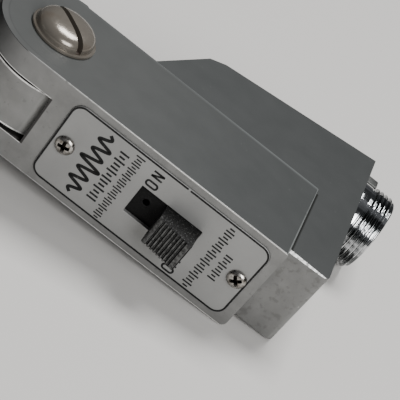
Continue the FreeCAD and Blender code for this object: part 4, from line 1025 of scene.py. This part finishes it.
def make_head_shells():
    """The rear shell and the front frame, softly rounded."""
    wall, post = 1.6 * MM, 2.2 * MM
    split, rear, front = -31.0 * MM, HEAD_HIGH.y, HEAD_LOW.y
    rings = [head_ring(rear - wall, 6 * MM), head_ring(split, wall), head_ring(split, 0)]
    shell = from_bmesh("rear_shell", loft(rings + rounded_rings(rear, split, 3.2 * MM)))
    cutters = neck_ways(1, 10 * MM)
    for x, z in HEAD_SCREWS:
        cutters.append(rod((x, rear - 1.2 * MM, z), Y, HEAD_WAY, 4 * MM, 48))
        cutters.append(rod((x, rear - 3 * MM, z), Y, SCREW_WAY, 6 * MM, 24))
    soften(carve(shell, cutters), 0.22 * MM, 3, 40)
    long, sunk = rear - split - 1.3 * MM, -0.02 * MM
    profile = [(sunk, SCREW_WAY), (0, post), (long, post), (long, SCREW_WAY), (sunk, SCREW_WAY)]
    finish_piece(join("rear_shell", [shell] + head_posts(split, profile)), "head", "head",
                 "head_enamel", "head_rear_shell")

    near, post_front = split - 0.05 * MM, -43.1 * MM
    rings = [head_ring(near, wall), head_ring(near, 0)] + rounded_rings(front, near, 2.6 * MM)
    rings += [head_ring(front + deep, inset) for deep, inset in scaled(
        (0, 4.0), (0.15, 4.2), (1.92, 4.2), (1.92, 2.2), (2.6, 1.6))]
    shape = bmesh.new()
    bands(shape, rings, closed=True)
    shell = carve(from_bmesh("front_frame", shape), neck_ways(-1, 10 * MM))
    soften(shell, 0.2 * MM, 3, 40)
    long = near - post_front
    posts = head_posts(post_front, [(0, 0), (0, post), (long, post), (long, 0)])
    finish_piece(join("front_frame", [shell] + posts), "head", "frame", "bare_casting",
                 "head_front_frame")


def make_grille():
    """The slotted front plate."""
    face, back = HEAD_LOW.y + 0.5 * MM, HEAD_LOW.y + 1.9 * MM
    inset = 4.25 * MM
    piece = from_bmesh("grille_plate", loft([
        head_ring(back, inset), head_ring(face + 0.3 * MM, inset),
        head_ring(face + 0.08 * MM, inset + 0.1 * MM), head_ring(face, inset + 0.35 * MM)]))
    pitch, opening, count = 3.6 * MM, 2.3 * MM, 13
    cutters = []
    for index in range(count):
        right = -83.3 * MM + opening - pitch * (index + 1) + 1.3 * MM
        reach = 9.0 * MM if index in (0, count - 1) else 11.4 * MM
        cutters.append(upright(round_rect(right - opening, right, -reach, reach, 1.1 * MM),
                               face - PAST, back + PAST))
    soften(carve(piece, cutters), 0.28 * MM, 4, 40)
    finish_piece(piece, "head", "grille", "grille_metal", "grille")


def make_mesh():
    """The woven wire mesh behind the grille: each wire waves over and under the others."""
    low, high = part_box("grille_mesh")
    middle, half = (low + high) / 2, (high - low) / 2
    gap, radius, corner = 0.8 * MM, 0.10 * MM, 8.5 * MM
    turns = [2 * math.pi * index / 5 for index in range(5)]
    shape = bmesh.new()
    for along_x in (True, False):
        reach_across, reach_along = (high.z, half.x) if along_x else (half.x, high.z)
        count = int(2 * (reach_across - 0.3 * MM) / gap)
        for index in range(count + 1):
            across = -count * gap / 2 + index * gap
            over = max(0.0, abs(across) - (reach_across - corner))
            end = reach_along - (corner - math.sqrt(max(corner ** 2 - over ** 2, 0.0))) - 0.15 * MM
            sway = radius * 0.95 * (1 if index % 2 else -1) * (1 if along_x else -1)
            steps = int(4 * end / gap) + 1
            rings = []
            for place in range(steps + 1):
                along = -end + 2 * end * place / steps
                level = middle.y + sway * math.cos(math.pi * along / gap)
                ring = [(level + radius * 0.9 * math.sin(turn), across + radius * 0.9 * math.cos(turn))
                        for turn in turns]
                rings.append([(middle.x + along, y, aside) if along_x else
                              (middle.x + aside, y, along) for y, aside in ring])
            bands(shape, rings)
    finish_piece(smooth(from_bmesh("wire_mesh", shape)), "head", "wire", "mesh_wire", "grille_mesh")


def make_cloth():
    """The rippled cloth behind the mesh."""
    low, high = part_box("wind_cloth")
    middle = (low + high) / 2
    outline = head_ring(middle.y, 4.6 * MM, 8)
    count = 24
    rings = []
    for index in range(1, count + 1):
        part, ripple = index / count, 0.12 * MM * math.sin(index * 1.7)
        rings.append([(middle.x + (x - middle.x) * part, y + ripple * math.sin(spoke * 0.9), z * part)
                      for spoke, (x, y, z) in enumerate(outline)])
    shape = bmesh.new()
    shape.faces.new(bands(shape, rings)[0])
    area = sum(face.calc_area() for face in shape.faces)
    cloth = smooth(from_bmesh("cloth_layer", shape))
    finish_piece(cloth, "head", "cloth", "cloth", "wind_cloth")


def dress_cad_nodes():
    """Give the CAD nodes that are shown as they are their materials."""
    looks = {
        "steel": ("switch_frame", "transformer_strap", "pivot_washer_right", "pivot_washer_left",
                  "neck_screws"),
        "brass": ("switch_contact", "switch_terminals", "connector_contacts"),
        "aluminium": ("capsule_case", "capsule_cover"),
        "iron": ("top_plate", "pole_piece"),
        "phenolic": ("switch_board",),
        "core": ("transformer_core",),
        "winding": ("transformer_coil",),
        "rubber": ("capsule_ring",),
        "film": ("diaphragm",),
        "voice": ("voice_coil",),
        "magnet": ("magnet",),
    }
    for look, names in looks.items():
        for name in names:
            materials = frame["nodes"][name].data.materials
            materials.clear()
            materials.append(LOOK[look])


# ---------------------------------------------------------------- camera, stage and light

def make_camera():
    """The camera: how far its view turns from +Y towards +X, looks down and rolls."""
    aside, down, roll = (math.radians(angle) for angle in (4.1814, 30.8920, 40.1801))
    camera = bpy.data.objects.new("camera", bpy.data.cameras.new("camera"))
    bpy.context.scene.collection.objects.link(camera)
    turn = Matrix.Rotation(-aside, 4, "Z") @ Matrix.Rotation(math.pi / 2 - down, 4, "X")
    place = Matrix.Translation((-0.03794, -0.22310, 0.11713))
    camera.matrix_world = place @ turn @ Matrix.Rotation(roll, 4, "Z")
    camera.data.lens = 121.8
    camera.data.sensor_width = 36.0
    camera.data.clip_start = 0.01
    bpy.context.scene.camera = camera


def resting_slope(points):
    """Slope of the line that touches the handle and the head from below, and a point on it."""
    least, most = 0.0, 0.5
    for _ in range(30):
        slope = (least + most) / 2
        touch = min(points, key=lambda point: point.z - point.x * math.tan(slope))
        if touch.x < PIVOT.x:
            least = slope
        else:
            most = slope
    return slope, touch


def make_stage():
    """A pale floor that the microphone's handle and head rest on."""
    points = []
    for name in ("fork_bar", "housing", "connector_thread", "rear_shell", "front_frame"):
        piece = bpy.data.objects[name]
        points += [piece.matrix_world @ vert.co for vert in piece.data.vertices]
    slope, touch = resting_slope([point for point in points if point.z < BAR_LOW.z / 2])
    shape = bmesh.new()
    bmesh.ops.create_grid(shape, x_segments=1, y_segments=1, size=3.0)
    shape.transform(Matrix.Translation(touch) @ Matrix.Rotation(-slope, 4, "Y"))
    floor = from_bmesh("floor", shape)
    material = bpy.data.materials.new("floor_paper")
    material.use_nodes = True
    shader = material.node_tree.nodes["Principled BSDF"]
    shader.inputs["Base Color"].default_value = (0.53, 0.517, 0.497, 1)
    shader.inputs["Roughness"].default_value = 0.85
    floor.data.materials.append(material)


def area_light(name, place, size, power):
    """A soft rectangular light at a place, aimed at the handle."""
    data = bpy.data.lights.new(name, "AREA")
    data.shape = "RECTANGLE"
    data.size, data.size_y = size
    data.energy = power
    light = bpy.data.objects.new(name, data)
    bpy.context.scene.collection.objects.link(light)
    light.location = place
    light.rotation_mode = "QUATERNION"
    light.rotation_quaternion = (Vector((-0.03, -0.02, 0)) - Vector(place)).to_track_quat("-Z", "Y")


def make_light():
    """A key light above and behind, a front light from the lower right, and a dim even sky."""
    area_light("key_light", (-0.02, 0.36, 0.88), (0.42, 0.34), 11.6)
    area_light("front_light", (0.28, -0.50, 0.40), (0.36, 0.36), 5.4)
    world = bpy.data.worlds.new("studio")
    world.use_nodes = True
    background = world.node_tree.nodes["Background"]
    background.inputs["Color"].default_value = (0.93, 0.95, 1.0, 1)
    background.inputs["Strength"].default_value = 0.155
    bpy.context.scene.world = world


LOOK = make_materials()
for make in (make_fork, make_housing, make_nameplate, make_knob, make_screws, make_switch_screws,
             make_pivots, make_connector, make_neck, make_head_shells, make_grille, make_mesh,
             make_cloth, dress_cad_nodes, make_camera, make_stage, make_light):
    make()
